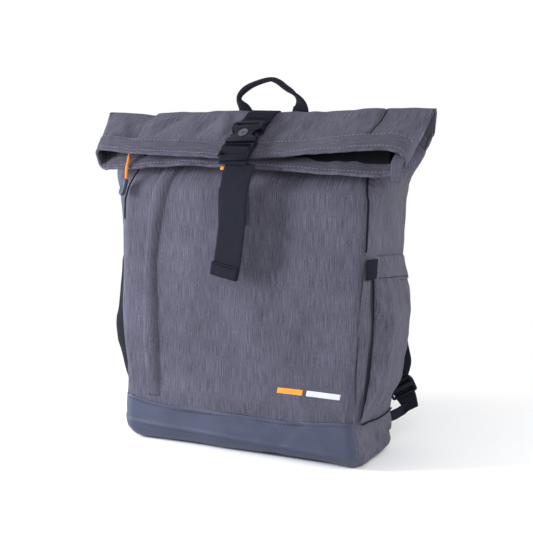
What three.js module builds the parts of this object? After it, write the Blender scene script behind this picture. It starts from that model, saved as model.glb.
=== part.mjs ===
// A fold-over flight backpack, closed and buckled.
// Millimetres, +Z up, the front faces -Y, +X is its right seen from the front.
import * as THREE from "three";

// ---- driving dimensions ------------------------------------------------------------------------
const BODY_WIDTH = 310;
const BODY_DEPTH = 118;
const FABRIC = 3; // panel cloth with its thin foam
const GAP = 0.3; // between pieces that touch
const BASE_BAND_TOP = 47;
const FRONT_SHOULDER_Z = 305; // above this the front leans back to the neck
const BACK_SHOULDER_Z = 300;
const NECK = { z: 368, front: 11, back: 25, halfWidth: 200 };
const FOLD = { y: 18, z: 384, slope: THREE.MathUtils.degToRad(33) };
const FLAP = { back: 88, front: 100, layer: 2.5, half: 6, hem: 22, foldHalfWidth: 205, mouthHalfWidth: 193 };
const WEBBING = { width: 38, thick: 1.6 };
const BUCKLE = { start: 42, female: 38, male: 28, width: 48, thick: 9, lift: 8.9 };
const TAIL = { length: 126, lean: THREE.MathUtils.degToRad(8) };
const HANDLE = { span: 76, width: 12, thick: 4, foot: 322, top: 427, lean: 34 };
const POCKET = { bottom: 56, seam: 210, top: 234, bulge: 17, skin: 1.6 };
const PLACKET = { x: -114, width: 20, bottom: 52, top: 300, lift: 4.6, cloth: 1.6 };
const FRONT_ZIP = { x: -111.5, bottom: 60, sliderLow: 264, sliderHigh: 276, top: 280 };
const MOUTH_ZIP = { from: -130, to: 172, line: 67.5 }; // line: distance of the teeth down from the fold
const LABEL = { x: 46, length: 36, space: 4, low: 78, high: 84, thick: 0.6 };
const STRAP = { thick: 12, webbing: 25 };
const BACK_PAD = { inner: 12, outer: 130, low: 120, high: 290, thick: 6 };
const LUMBAR_PAD = { halfWidth: 122, low: 30, high: 108, thick: 7 };

const HALF_W = BODY_WIDTH / 2;
const HALF_D = BODY_DEPTH / 2;
const INNER_W = HALF_W - FABRIC - GAP; // half-width of the panels that lie between the side panels

// ---- materials ---------------------------------------------------------------------------------
const material = (color, roughness, metalness = 0) =>
  new THREE.MeshStandardMaterial({ color, roughness, metalness });
const MATERIALS = {
  heather: material(0x5a5764, 0.9),
  coated: material(0x3c4560, 0.5),
  webbing: material(0x23252e, 0.75),
  plastic: material(0x1c1e26, 0.4),
  emblem: material(0x3a3d49, 0.35),
  orange: material(0xf08a1c, 0.7),
  pale: material(0xdfe2ea, 0.7),
  rubber: material(0x39445c, 0.6),
  mesh: material(0x15161b, 0.85),
  foam: material(0x2a2b30, 0.95),
  lining: material(0x3a3b42, 0.85),
  zip: material(0x17181d, 0.6),
  metal: material(0x55575e, 0.35, 0.9),
};

// ---- solids ------------------------------------------------------------------------------------
const V = (x, y, z) => new THREE.Vector3(x, y, z);

function signedVolume(positions, index) {
  let volume = 0;
  const corner = [V(0, 0, 0), V(0, 0, 0), V(0, 0, 0)];
  for (let i = 0; i < index.length; i += 3) {
    corner.forEach((c, k) => c.fromArray(positions, 3 * index[i + k]));
    volume += corner[0].dot(corner[1].clone().cross(corner[2])) / 6;
  }
  return volume;
}

// A closed sheet of even thickness: rows of outer points, and the same points moved inwards
// along the sheet's normal.
function sheet(rows, thickness) {
  const height = rows.length;
  const width = rows[0].length;
  const clamp = (i, count) => Math.min(Math.max(i, 0), count - 1);
  const at = (r, c) => rows[clamp(r, height)][clamp(c, width)];
  const positions = [];
  for (const depth of [0, thickness])
    for (let r = 0; r < height; r++)
      for (let c = 0; c < width; c++) {
        const along = at(r + 1, c).clone().sub(at(r - 1, c));
        const across = at(r, c + 1).clone().sub(at(r, c - 1));
        const normal = along.cross(across).normalize();
        positions.push(...at(r, c).clone().addScaledVector(normal, depth).toArray());
      }
  const index = [];
  const quad = (a, b, c, d) => index.push(a, b, c, a, c, d);
  const inner = height * width;
  for (let r = 0; r + 1 < height; r++)
    for (let c = 0; c + 1 < width; c++) {
      const i = r * width + c;
      quad(i, i + 1, i + 1 + width, i + width);
      quad(inner + i, inner + i + width, inner + i + width + 1, inner + i + 1);
    }
  const rim = [];
  for (let c = 0; c < width; c++) rim.push(c);
  for (let r = 1; r < height; r++) rim.push(r * width + width - 1);
  for (let c = width - 2; c >= 0; c--) rim.push((height - 1) * width + c);
  for (let r = height - 2; r > 0; r--) rim.push(r * width);
  rim.forEach((i, k) => {
    const next = rim[(k + 1) % rim.length];
    quad(next, i, inner + i, inner + next);
  });
  if (signedVolume(positions, index) < 0) index.reverse();
  const geometry = new THREE.BufferGeometry();
  geometry.setAttribute("position", new THREE.Float32BufferAttribute(positions, 3));
  geometry.setIndex(index);
  geometry.computeVertexNormals();
  return geometry;
}

// A flat strap that follows a path, with its width along one direction.
function strap(path, width, thickness, across = V(1, 0, 0)) {
  const widths = Array.isArray(width) ? width : path.map(() => width);
  const rows = path.map((p, i) => [-0.5, 0.5].map((s) => p.clone().addScaledVector(across, s * widths[i])));
  return sheet(rows, thickness);
}

function block(low, high) {
  const size = high.clone().sub(low);
  const middle = high.clone().add(low).multiplyScalar(0.5);
  return new THREE.BoxGeometry(size.x, size.y, size.z).translate(middle.x, middle.y, middle.z);
}

// A flat plate with an outline in X and Y, optional holes, standing from z = low to z = high.
function plate(outline, low, high, holes = []) {
  const shape = new THREE.Shape(outline.map(([x, y]) => new THREE.Vector2(x, y)));
  for (const hole of holes) shape.holes.push(new THREE.Path(hole.map(([x, y]) => new THREE.Vector2(x, y))));
  return new THREE.ExtrudeGeometry(shape, { depth: high - low, bevelEnabled: false }).translate(0, 0, low);
}

const rectangle = (x0, x1, y0, y1) => [
  [x0, y0],
  [x1, y0],
  [x1, y1],
  [x0, y1],
];

const bag = new THREE.Group();
// The folded-over flap: local -Y runs down it from the fold, local +Z out of its face.
const flap = new THREE.Group();
flap.position.set(0, FOLD.y, FOLD.z);
flap.rotation.x = FOLD.slope;
bag.add(flap);

function add(name, geometry, finish, parent = bag) {
  const mesh = new THREE.Mesh(geometry, MATERIALS[finish]);
  mesh.name = name;
  parent.add(mesh);
  return mesh;
}

// ---- body panels -------------------------------------------------------------------------------
function blendTo(z, from, to, a, b) {
  const share = Math.min(Math.max((z - from) / (to - from), 0), 1);
  return a + (b - a) * share;
}

const frontY = (z) => blendTo(z, FRONT_SHOULDER_Z, NECK.z, -HALF_D, NECK.front);
const backY = (z) => blendTo(z, BACK_SHOULDER_Z, NECK.z, HALF_D, NECK.back);
const creaseX = (z) => blendTo(z, FRONT_SHOULDER_Z, NECK.z, HALF_W, NECK.halfWidth);
const LEVELS = [FABRIC + GAP, BACK_SHOULDER_Z, FRONT_SHOULDER_Z, 336, NECK.z];

const panelHalfWidth = (z) => blendTo(z, FRONT_SHOULDER_Z, NECK.z, INNER_W, INNER_W - 4);
const widePanel = (levels, y) => levels.map((z) => [-1, 1].map((s) => V(s * panelHalfWidth(z), y(z), z)));
const aboveBand = [BASE_BAND_TOP + GAP, ...LEVELS.slice(2)];
add("front_panel", sheet(widePanel(aboveBand, frontY), FABRIC), "heather");
add("back_panel", sheet(widePanel(LEVELS, backY).map((row) => row.reverse()), FABRIC), "heather");
for (const [side, s] of [["left", -1], ["right", 1]]) {
  const rows = LEVELS.map((z) => {
    const crease = V(s * creaseX(z), (frontY(z) + backY(z)) / 2, z);
    const row = [V(s * HALF_W, frontY(z), z), crease, V(s * HALF_W, backY(z), z)];
    return s > 0 ? row : row.reverse();
  });
  add(`side_panel_${side}`, sheet(rows, FABRIC), "heather");
}
add("base_panel", block(V(-HALF_W, -HALF_D, 0), V(HALF_W, HALF_D, FABRIC)), "coated");
add(
  "base_front_band",
  block(V(-INNER_W, -HALF_D, FABRIC + GAP), V(INNER_W, -HALF_D + FABRIC, BASE_BAND_TOP)),
  "coated",
);

// ---- what the bag holds inside -----------------------------------------------------------------
const inside = HALF_D - FABRIC - GAP;
const floorTop = FABRIC + GAP + 3;
add("base_board", block(V(-146, -52, FABRIC + GAP), V(146, 48, floorTop)), "foam");
add("back_foam", block(V(-142, inside - 5, 12), V(142, inside, 292)), "foam");
add("laptop_sleeve", block(V(-136, 28, floorTop + GAP), V(136, 33, 262)), "lining");
add("front_pocket_lining", block(V(-138, -inside, 70), V(110, -inside + 0.8, 298)), "lining");

// ---- concealed front zip under its placket -----------------------------------------------------
const zipFace = -HALF_D - GAP;
const zipPart = (halfWidth, bottom, top, out, under) =>
  block(V(FRONT_ZIP.x - halfWidth, zipFace - out, bottom), V(FRONT_ZIP.x + halfWidth, zipFace - under, top));
add("front_zip_tape", zipPart(8, FRONT_ZIP.bottom, FRONT_ZIP.top, 0.6, 0), "zip");
add("front_zip_coil", zipPart(1.6, FRONT_ZIP.bottom, FRONT_ZIP.sliderLow - 1, 2.1, 0.9), "zip");
add("front_zip_slider", zipPart(3.5, FRONT_ZIP.sliderLow, FRONT_ZIP.sliderHigh, 3.5, 0.9), "metal");
// The placket is sewn down along its right edge and stands over the zip, open towards the left.
const placketFree = PLACKET.x - PLACKET.width / 2;
const placketSewn = PLACKET.x + PLACKET.width / 2;
const placketUnder = zipFace - PLACKET.lift;
const placketFace = placketUnder - PLACKET.cloth;
const placketOutline = [
  [placketSewn + 9, zipFace],
  [placketSewn, placketUnder],
  [placketFree, placketUnder],
  [placketFree, placketFace],
  [placketSewn + 1, placketFace],
  [placketSewn + 11, zipFace],
];
add("zip_placket", plate(placketOutline.reverse(), PLACKET.bottom, PLACKET.top), "heather");

// ---- label marks -------------------------------------------------------------------------------
function labelBar(name, x, finish) {
  const face = -HALF_D - GAP;
  add(name, block(V(x, face - LABEL.thick, LABEL.low), V(x + LABEL.length, face, LABEL.high)), finish);
}
labelBar("label_bar_orange", LABEL.x, "orange");
labelBar("label_bar_pale", LABEL.x + LABEL.length + LABEL.space, "pale");

// ---- side pockets ------------------------------------------------------------------------------
const POCKET_Y = [-46, -26, 26, 54];
const skin = POCKET.skin;
function pocketRows(s, levels) {
  return levels.map((z) => {
    const fill = POCKET.bulge * Math.sqrt(Math.min((z - POCKET.bottom) / 90, 1));
    const row = POCKET_Y.map((y, i) => V(s * (HALF_W + GAP + skin + (i % 3 ? fill : 0.2)), y, z));
    return s > 0 ? row : row.reverse();
  });
}
add("right_pocket", sheet(pocketRows(1, [POCKET.bottom, 100, 150, POCKET.seam - GAP]), skin), "heather");
add("right_pocket_band", sheet(pocketRows(1, [POCKET.seam, POCKET.top]), skin), "heather");
const pocketStrip = (low, high) => block(V(HALF_W + GAP, -57, low), V(HALF_W + 2, -47, high));
add("right_pocket_elastic", pocketStrip(213, 233), "webbing");
add("right_pocket_gusset", pocketStrip(POCKET.bottom, 212), "heather");
add("left_mesh_pocket", sheet(pocketRows(-1, [POCKET.bottom, 100, 150, 226 - GAP]), skin), "mesh");
add("left_pocket_binding", sheet(pocketRows(-1, [226, POCKET.top]), skin), "webbing");

// ---- roll top: a flattened tube that folds over the front, with a hem band round its mouth -----
const flapHalfWidth = (u) => THREE.MathUtils.lerp(FLAP.foldHalfWidth, FLAP.mouthHalfWidth, u / FLAP.back);
const backEnd = FLAP.back - FLAP.hem - GAP;
const frontEnd = FLAP.front - FLAP.hem - GAP;
function layer(u0, u1, face, half) {
  const under = face - Math.sign(face) * FLAP.layer;
  return block(V(-half, -u1, Math.min(face, under)), V(half, -u0, Math.max(face, under)));
}
add("roll_top_back_panel", layer(0, backEnd, FLAP.half, HALF_W - GAP), "heather", flap);
add("roll_top_front_panel", layer(6, frontEnd, -FLAP.half, HALF_W - GAP), "heather", flap);
for (const [side, s] of [["left", -1], ["right", 1]]) {
  const rows = [6, backEnd].map((u) => {
    const edge = flapHalfWidth(u);
    const section = [[HALF_W, 1], [edge - 8, 1], [edge, 0], [edge - 8, -1], [HALF_W, -1]];
    const row = section.map(([x, k]) => V(s * x, -u, k * FLAP.half));
    return s > 0 ? row : row.reverse();
  });
  add(`roll_top_side_${side}`, sheet(rows, FLAP.layer), "heather", flap);
}
// The two halves of the hem band: the outer one turns round both ends of the mouth.
const hemRow = (u, k) => {
  const edge = flapHalfWidth(u);
  const section = [[-edge, 0.1], [-edge + 8, 1], [edge - 8, 1], [edge, 0.1]];
  return section.map(([x, h]) => V(x, -u, k * h * FLAP.half));
};
const hemRows = [FLAP.back - FLAP.hem, FLAP.back].map((u) => hemRow(u, 1));
add("hem_band_back", sheet(hemRows, FLAP.layer), "heather", flap);
const hemFront = layer(FLAP.front - FLAP.hem, FLAP.front, -FLAP.half, FLAP.mouthHalfWidth - 10);
add("hem_band_front", hemFront, "heather", flap);
add("lip_tab", block(V(-17, -FLAP.front - 4, -5.5), V(17, -FLAP.front - GAP, -4)), "orange", flap);

// ---- mouth zip, with a cord puller that hangs out over the lower lip ---------------------------
const zipPiece = (x0, x1, up, down, v0, v1) =>
  block(V(x0, -MOUTH_ZIP.line - down, v0), V(x1, -MOUTH_ZIP.line + up, v1));
const tapeTop = FLAP.half - FLAP.layer - GAP;
const tapeBack = zipPiece(MOUTH_ZIP.from, MOUTH_ZIP.to, -0.5, 12.5, tapeTop - 0.4, tapeTop);
const tapeFront = tapeBack.clone().translate(0, 0, 0.4 - 2 * tapeTop);
const sliderX = MOUTH_ZIP.from - 7;
add("mouth_zip_tape_back", tapeBack, "zip", flap);
add("mouth_zip_tape_front", tapeFront, "zip", flap);
add("mouth_zip_coil", zipPiece(MOUTH_ZIP.from, MOUTH_ZIP.to, 1.5, 1.5, -1.3, 1.3), "zip", flap);
add("mouth_zip_slider", zipPiece(sliderX - 6, sliderX + 6, 2.5, 6.5, -2.4, 2.4), "metal", flap);
add("zip_end_tab", zipPiece(MOUTH_ZIP.to + 1, MOUTH_ZIP.to + 13, -2.5, 44.5, -2, 0), "heather", flap);
const loop = zipPiece(sliderX - 1.5, sliderX + 1.5, -6.5 - GAP, 35.5, -1.5, 1.5);
add("puller_loop", loop, "orange", flap);
// The hanging cord and its tip are vertical, so they are placed in the bag's own axes.
function flapPoint(x, u, v) {
  return V(x, -u, v).applyAxisAngle(V(1, 0, 0), FOLD.slope).add(flap.position);
}
const hang = flapPoint(sliderX, 105.5, 0);
const cord = new THREE.CylinderGeometry(1.5, 1.5, 20, 8)
  .rotateX(Math.PI / 2)
  .translate(hang.x, hang.y, hang.z - 10);
add("puller_cord", cord, "orange");
const tipHalf = [[4.5, -9], [4.5, 2], [2.6, 10]];
const tipOutline = [[-2, -12], [2, -12], ...tipHalf, ...tipHalf.map(([x, y]) => [-x, y]).reverse()];
const tip = plate(tipOutline, -2.4, 2.4)
  .rotateX(Math.PI / 2)
  .translate(hang.x, hang.y, hang.z - 30 - GAP);
add("puller_tip", tip, "rubber");

// ---- closure strap and side-release buckle -----------------------------------------------------
const halfWeb = WEBBING.width / 2;
const strapUnder = FLAP.half + GAP;
const closureStrap = block(
  V(-halfWeb, -BUCKLE.start - 3, strapUnder),
  V(halfWeb, 0, strapUnder + WEBBING.thick),
);
add("closure_strap", closureStrap, "webbing", flap);
// Webbing that lies on a panel: two points for every place on its middle line.
function webOn(path, halfWidth, thickness = WEBBING.thick) {
  const rows = path.map((p) => [-halfWidth, halfWidth].map((x) => V(x, p.y, p.z)));
  return sheet(rows, thickness);
}
const anchorLevels = [344, 356, NECK.z];
const anchorPath = anchorLevels.map((z) => V(0, backY(z) + GAP + WEBBING.thick + 0.6, z));
add("closure_strap_anchor", webOn(anchorPath, -halfWeb), "webbing");

const low = BUCKLE.lift;
const high = BUCKLE.lift + BUCKLE.thick;
const halfB = BUCKLE.width / 2;
const u0 = BUCKLE.start;
const u1 = BUCKLE.start + BUCKLE.female;
const u2 = u1 + GAP;
const u3 = u2 + BUCKLE.male;
// Female half: a webbing bar and two faces joined behind it, open at the mouth and at both sides.
const femaleWall = 2;
const femaleSection = [
  [-u0, low],
  [-u0, high],
  [-u1, high],
  [-u1, high - femaleWall],
  [-u0 - 12, high - femaleWall],
  [-u0 - 12, low + femaleWall],
  [-u1, low + femaleWall],
  [-u1, low],
];
const femaleShape = new THREE.Shape(femaleSection.map(([y, z]) => new THREE.Vector2(y, z)));
const female = new THREE.ExtrudeGeometry(femaleShape, { depth: BUCKLE.width, bevelEnabled: false });
// The extrusion's X, Y and Z are the flap's Y, Z and X.
female.applyMatrix4(new THREE.Matrix4().makeBasis(V(0, 1, 0), V(0, 0, 1), V(1, 0, 0)));
female.translate(-halfB, 0, 0);
add("buckle_female", female, "plastic", flap);
const disc = new THREE.CylinderGeometry(5.5, 5.5, 0.8, 20)
  .rotateX(Math.PI / 2)
  .translate(0, -u0 - 22, high + GAP + 0.4);
add("buckle_disc", disc, "emblem", flap);
// Male half: a ladder-lock frame with two webbing slots, and two spring prongs that stand in
// the female half.
const slots = [rectangle(-20, 20, -u3 + 5, -u3 + 10), rectangle(-20, 20, -u3 + 14, -u3 + 19)];
const frameOutline = [[-halfB, -u2], [-halfB + 2, -u3], [halfB - 2, -u3], [halfB, -u2]];
add("buckle_male", plate(frameOutline, low + 2, high - 2, slots), "plastic", flap);
for (const [side, s] of [["left", -1], ["right", 1]]) {
  const root = -u2 + GAP + 1;
  const prong = [[10, root], [16, root], [22.5, -u1 + 12], [22.5, -u1 + 18], [17, -u1 + 22], [12, -u1 + 22]];
  const outline = prong.map(([x, y]) => [s * x, y]);
  if (s < 0) outline.reverse();
  add(`buckle_prong_${side}`, plate(outline, low + 2.6, high - 2.6), "plastic", flap);
}
// Webbing turned round the ladder-lock's bar, and the free tail that hangs in front of the bag.
const turn = block(V(-18.5, -u3 + 5.4, high - 1.7), V(18.5, -u3 + 19, high + 0.2));
add("webbing_turn", turn, "webbing", flap);
const barPoint = flapPoint(0, u3 + 1.5, high - 1);
const tail = new THREE.Group();
tail.position.copy(barPoint);
tail.rotation.y = TAIL.lean;
bag.add(tail);
const tailWeb = block(V(-halfWeb, -2.4, -TAIL.length), V(halfWeb, -2.4 + WEBBING.thick, -1));
add("closure_tail", tailWeb, "webbing", tail);
const fixedLevels = [262, FRONT_SHOULDER_Z - 2];
const fixedPath = fixedLevels.map((z) => V(0, frontY(z) - GAP - WEBBING.thick, z));
add("closure_fixed_webbing", webOn(fixedPath, halfWeb), "webbing");

// ---- grab handle -------------------------------------------------------------------------------
const span = HANDLE.span / 2;
const footZ = NECK.z + 3;
const handleOutline = (grow) => [
  [-span - grow, footZ],
  [-span - grow - 1, footZ + 28],
  [-span + 12 - grow * 0.6, HANDLE.top - 9 + grow],
  [-12, HANDLE.top - HANDLE.thick / 2 + grow],
  [12, HANDLE.top - HANDLE.thick / 2 + grow],
  [span - 12 + grow * 0.6, HANDLE.top - 9 + grow],
  [span + grow + 1, footZ + 28],
  [span + grow, footZ],
];
const t = HANDLE.thick / 2;
const handleRing = [...handleOutline(t), ...handleOutline(-t).reverse()];
const handle = plate(handleRing, -HANDLE.width / 2, HANDLE.width / 2)
  .rotateX(Math.PI / 2)
  .translate(0, HANDLE.lean, 0);
add("grab_handle", handle, "webbing");
const PATCH_THICK = 2.4;
const patchLevels = [HANDLE.foot, anchorLevels[0] - GAP];
const patchPath = patchLevels.map((z) => V(0, backY(z) + 3 * GAP + PATCH_THICK, z));
add("handle_patch", webOn(patchPath, -span - 14, PATCH_THICK), "webbing");

// ---- back pads and shoulder straps -------------------------------------------------------------
const padFace = HALF_D + GAP;
const pad = (x0, x1, { low, high, thick }) => block(V(x0, padFace, low), V(x1, padFace + thick, high));
add("back_pad_left", pad(-BACK_PAD.outer, -BACK_PAD.inner, BACK_PAD), "mesh");
add("back_pad_right", pad(BACK_PAD.inner, BACK_PAD.outer, BACK_PAD), "mesh");
add("lumbar_pad", pad(-LUMBAR_PAD.halfWidth, LUMBAR_PAD.halfWidth, LUMBAR_PAD), "mesh");

// Places on the strap's outer face: distance from the middle, distance behind the back panel, height.
const STRAP_PATH = [
  [77, 14, 346],
  [79, 21, 318],
  [85, 29, 262],
  [96, 31, 206],
  [114, 29, 156],
  [131, 26, 124],
];
const STRAP_WIDTHS = [48, 56, 60, 60, 54, 44];
const LOCK = { x: 147, behind: 23, z: 80, tilt: 0.5, turn: 0.35 };
for (const [side, s] of [["left", -1], ["right", 1]]) {
  const path = STRAP_PATH.map(([x, out, z]) => V(s * x, backY(z) + out, z));
  add(`shoulder_strap_${side}`, strap(path, STRAP_WIDTHS, STRAP.thick), "mesh");
  // Lower adjuster: a ladder-lock on the pad's end, and webbing from it to the tab in the
  // bottom corner seam.
  const lock = new THREE.Group();
  lock.position.set(s * LOCK.x, HALF_D + LOCK.behind, LOCK.z);
  lock.rotation.set(0, -s * LOCK.tilt, s * LOCK.turn);
  bag.add(lock);
  const lockSlots = [rectangle(-13, 13, -7, -3), rectangle(-13, 13, 3, 7)];
  const frame = plate(rectangle(-16, 16, -10, 10), -2, 2, lockSlots).rotateX(Math.PI / 2);
  add(`ladder_lock_${side}`, frame, "plastic", lock);
  const half = STRAP.webbing / 2;
  const turned = [[10.5, 2.6], [-2.5, 2.6], [-12, 2.6], [-24, -1]];
  const rows = turned.map(([z, y]) => [-half, half].map((x) => V(x, y + WEBBING.thick + GAP, z)));
  add(`adjuster_webbing_${side}`, sheet(rows, WEBBING.thick), "webbing", lock);
  const cornerPath = [V(s * 141, HALF_D + 3, 22), V(s * 148, HALF_D + 14, 48)];
  add(`corner_tab_${side}`, strap(cornerPath, 30, 2), "webbing");
}

// The origin is the middle of the object's box, on the surface that it stands on.
const bounds = new THREE.Box3().setFromObject(bag, true);
const middle = bounds.getCenter(V(0, 0, 0));
bag.position.set(-middle.x, -middle.y, -bounds.min.z);

export default bag;
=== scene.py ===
"""The looks of a fold-over roll-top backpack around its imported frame.

Shapes are worked out in millimetres in the bag's own axes (+Z up, -Y the front, +X the right in view) and
turned into metres of the row frame when a mesh is made.
"""

import math

import bmesh
import bpy
import numpy as np
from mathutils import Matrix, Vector


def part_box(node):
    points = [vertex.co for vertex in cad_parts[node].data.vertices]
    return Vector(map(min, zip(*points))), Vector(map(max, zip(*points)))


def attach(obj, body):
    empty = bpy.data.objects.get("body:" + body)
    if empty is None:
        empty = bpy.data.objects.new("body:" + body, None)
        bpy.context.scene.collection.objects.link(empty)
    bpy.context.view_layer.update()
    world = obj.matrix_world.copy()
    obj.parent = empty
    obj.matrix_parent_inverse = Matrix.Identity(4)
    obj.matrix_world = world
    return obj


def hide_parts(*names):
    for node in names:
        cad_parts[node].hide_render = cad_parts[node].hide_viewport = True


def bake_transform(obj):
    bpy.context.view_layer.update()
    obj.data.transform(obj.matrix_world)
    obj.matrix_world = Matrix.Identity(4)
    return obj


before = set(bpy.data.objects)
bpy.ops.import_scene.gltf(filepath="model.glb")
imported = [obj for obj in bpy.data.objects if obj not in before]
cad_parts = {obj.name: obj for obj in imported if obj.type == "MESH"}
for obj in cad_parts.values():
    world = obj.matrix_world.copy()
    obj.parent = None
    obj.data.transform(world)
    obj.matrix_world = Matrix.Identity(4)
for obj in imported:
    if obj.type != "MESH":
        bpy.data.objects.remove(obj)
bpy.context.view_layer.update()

MM = 0.001
base_low, base_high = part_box("base_panel")
SHIFT = (base_low.y + base_high.y) / 2 / MM  # the bag's own middle is not the middle of the object's box

HALF_D = 59.0
NECK_Z = 362.0
SEAM_X = 147.0  # the side seams where they run over the flap
FOLD_Y, FOLD_Z = 18.0, 384.0
SLOPE = math.radians(33)
COS, SIN = math.cos(SLOPE), math.sin(SLOPE)
LAYER = 2.0  # one layer of panel cloth
TUBE_START = 8.0  # along the flap from the fold, where the folded part ends
UP_FLAP = np.array([0, COS, SIN])
OUT_OF_FLAP = np.array([0, -SIN, COS])


def interp(x, table):
    xs, ys = zip(*table)
    return np.interp(x, xs, ys)


def smooth(x, a, b):
    t = np.clip((np.asarray(x, float) - a) / (b - a), 0, 1)
    return t * t * (3 - 2 * t)


def bump(x, middle, width):
    return np.exp(-(((np.asarray(x, float) - middle) / width) ** 2))


def ripple(x, y, size, seed, waves=14):
    """A smooth uneven field of about unit height, made of waves about one size long."""
    random = np.random.default_rng(seed)
    total = 0
    for _ in range(waves):
        angle, phase, k = random.uniform(0, math.tau), random.uniform(0, math.tau), random.uniform(0.6, 1.7)
        total = total + np.sin(k * math.tau / size * (x * math.cos(angle) + y * math.sin(angle)) + phase)
    return total / math.sqrt(waves)


def unit(v):
    return v / np.maximum(np.linalg.norm(v, axis=-1, keepdims=True), 1e-9)


def row_frame(points):
    return (np.asarray(points, float) + [0, SHIFT, 0]) * MM


def on_flap(x, u, v):
    """Points from the place along the fold, the distance down the flap and the height out of its face."""
    x, u, v = np.broadcast_arrays(np.asarray(x, float), u, v)
    return np.stack([x, FOLD_Y - u * COS - v * SIN, FOLD_Z - u * SIN + v * COS], -1)


def flap_path(x, route):
    """A path across the fold at one x, from its distances down the flap and heights out of its face."""
    return [on_flap(x, u, v) for u, v in route]


# ---- camera and light ----
AZIMUTH, ELEVATION, DISTANCE = math.radians(26.5), math.radians(9), 1450.0
TARGET = Vector(row_frame([5.2, 0, 208.5]))
level = math.cos(ELEVATION)
back = Vector((math.sin(AZIMUTH) * level, -math.cos(AZIMUTH) * level, math.sin(ELEVATION)))
camera = bpy.data.objects.new("camera", bpy.data.cameras.new("camera"))
bpy.context.scene.collection.objects.link(camera)
camera.location = TARGET + back * DISTANCE * MM
camera.rotation_euler = (-back).to_track_quat("-Z", "Y").to_euler()
camera.data.lens = 85
camera.data.sensor_width = 36
camera.data.clip_end = 50
bpy.context.scene.camera = camera


def area_light(name, place, aim, size, power, colour=(1, 1, 1)):
    light = bpy.data.objects.new(name, bpy.data.lights.new(name, "AREA"))
    bpy.context.scene.collection.objects.link(light)
    light.data.shape = "RECTANGLE"
    light.data.size, light.data.size_y = size
    light.data.energy = power
    light.data.color = colour
    light.location = place
    light.rotation_euler = (Vector(aim) - Vector(place)).to_track_quat("-Z", "Y").to_euler()


area_light("key", (-0.8, -0.5, 0.4), (-0.02, 0, 0.2), (0.3, 0.5), 15.5, (0.9, 0.92, 1))
area_light("side", (1.35, 0.05, 0.55), (0, 0, 0.2), (0.9, 1.0), 11)
area_light("fill", (0.75, -1.1, 1.0), (0.1, 0, 0.3), (0.7, 0.7), 5.5)

# The paper backdrop is plain white to the camera and lights the object less strongly than that.
world = bpy.data.worlds.new("studio")
world.use_nodes = True
world_nodes, world_links = world.node_tree.nodes, world.node_tree.links
surround = world_nodes["Background"]
surround.inputs["Color"].default_value = (1, 1, 1, 1)
surround.inputs["Strength"].default_value = 0.74
backdrop = world_nodes.new("ShaderNodeBackground")
backdrop.inputs["Color"].default_value = (1, 1, 1, 1)
ray = world_nodes.new("ShaderNodeLightPath")
choice = world_nodes.new("ShaderNodeMixShader")
world_links.new(ray.outputs["Is Camera Ray"], choice.inputs[0])
world_links.new(surround.outputs[0], choice.inputs[1])
world_links.new(backdrop.outputs[0], choice.inputs[2])
world_links.new(choice.outputs[0], world_nodes["World Output"].inputs["Surface"])
bpy.context.scene.world = world
bpy.context.scene.view_settings.view_transform = "Standard"


# ---- materials ----
class Look:
    """A procedural material under construction."""

    def __init__(self, name, slot, **constants):
        self.slot = slot
        self.material = bpy.data.materials.new(name)
        self.material.use_nodes = True
        self.tree = self.material.node_tree
        self.shader = self.tree.nodes["Principled BSDF"]
        for key, value in constants.items():
            self.shader.inputs[key.replace("_", " ")].default_value = value
        self.uv = self.node("TexCoord").outputs["UV"]
        self.place = self.node("TexCoord").outputs["Object"]

    def node(self, kind, inputs=None, **settings):
        node = self.tree.nodes.new("ShaderNode" + kind)
        for key, value in settings.items():
            setattr(node, key, value)
        for key, value in (inputs or {}).items():
            self.put(node.inputs[key], value)
        return node

    def put(self, socket, value):
        if isinstance(value, bpy.types.NodeSocket):
            self.tree.links.new(value, socket)
        else:
            socket.default_value = value

    def scaled(self, where, scale):
        return self.node("Mapping", {"Vector": where, "Scale": scale}).outputs["Vector"]

    def noise(self, where, scale, detail=2.0, roughness=0.5):
        at = self.scaled(where, scale)
        inputs = {"Vector": at, "Scale": 1.0, "Detail": detail, "Roughness": roughness}
        return self.node("TexNoise", inputs).outputs["Fac"]

    def wave(self, where, scale, direction="X", distortion=0.0):
        inputs = {"Vector": self.scaled(where, (scale,) * 3), "Scale": 1.0, "Distortion": distortion}
        return self.node("TexWave", inputs, wave_type="BANDS", bands_direction=direction).outputs["Fac"]

    def cells(self, scale, randomness=1.0):
        inputs = {"Vector": self.place, "Scale": scale, "Randomness": randomness}
        return self.node("TexVoronoi", inputs).outputs["Distance"]

    def math(self, operation, a, b):
        return self.node("Math", {0: a, 1: b}, operation=operation).outputs[0]

    def total(self, a, share_a, b, share_b):
        return self.math("ADD", self.math("MULTIPLY", a, share_a), self.math("MULTIPLY", b, share_b))

    def ramp(self, factor, *stops):
        node = self.node("ValToRGB", {"Fac": factor})
        elements = node.color_ramp.elements
        while len(elements) < len(stops):
            elements.new(0.5)
        for element, (place, colour) in zip(elements, stops):
            element.position = place
            element.color = (*colour, 1)
        return node.outputs["Color"]

    def multiply(self, a, b):
        node = self.node("Mix", data_type="RGBA", blend_type="MULTIPLY")
        for index, value in ((0, 1.0), (6, a), (7, b)):
            self.put(node.inputs[index], value)
        return node.outputs[2]

    def colour(self, value):
        self.put(self.shader.inputs["Base Color"], value)

    def rough(self, factor, low, high):
        out = self.node("MapRange", {"Value": factor, "To Min": low, "To Max": high}).outputs["Result"]
        self.put(self.shader.inputs["Roughness"], out)

    def relief(self, height, distance, strength):
        node = self.node("Bump", {"Height": height, "Distance": distance, "Strength": strength})
        self.put(self.shader.inputs["Normal"], node.outputs["Normal"])


def times(colour, factor):
    return [factor * c for c in colour]


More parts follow.
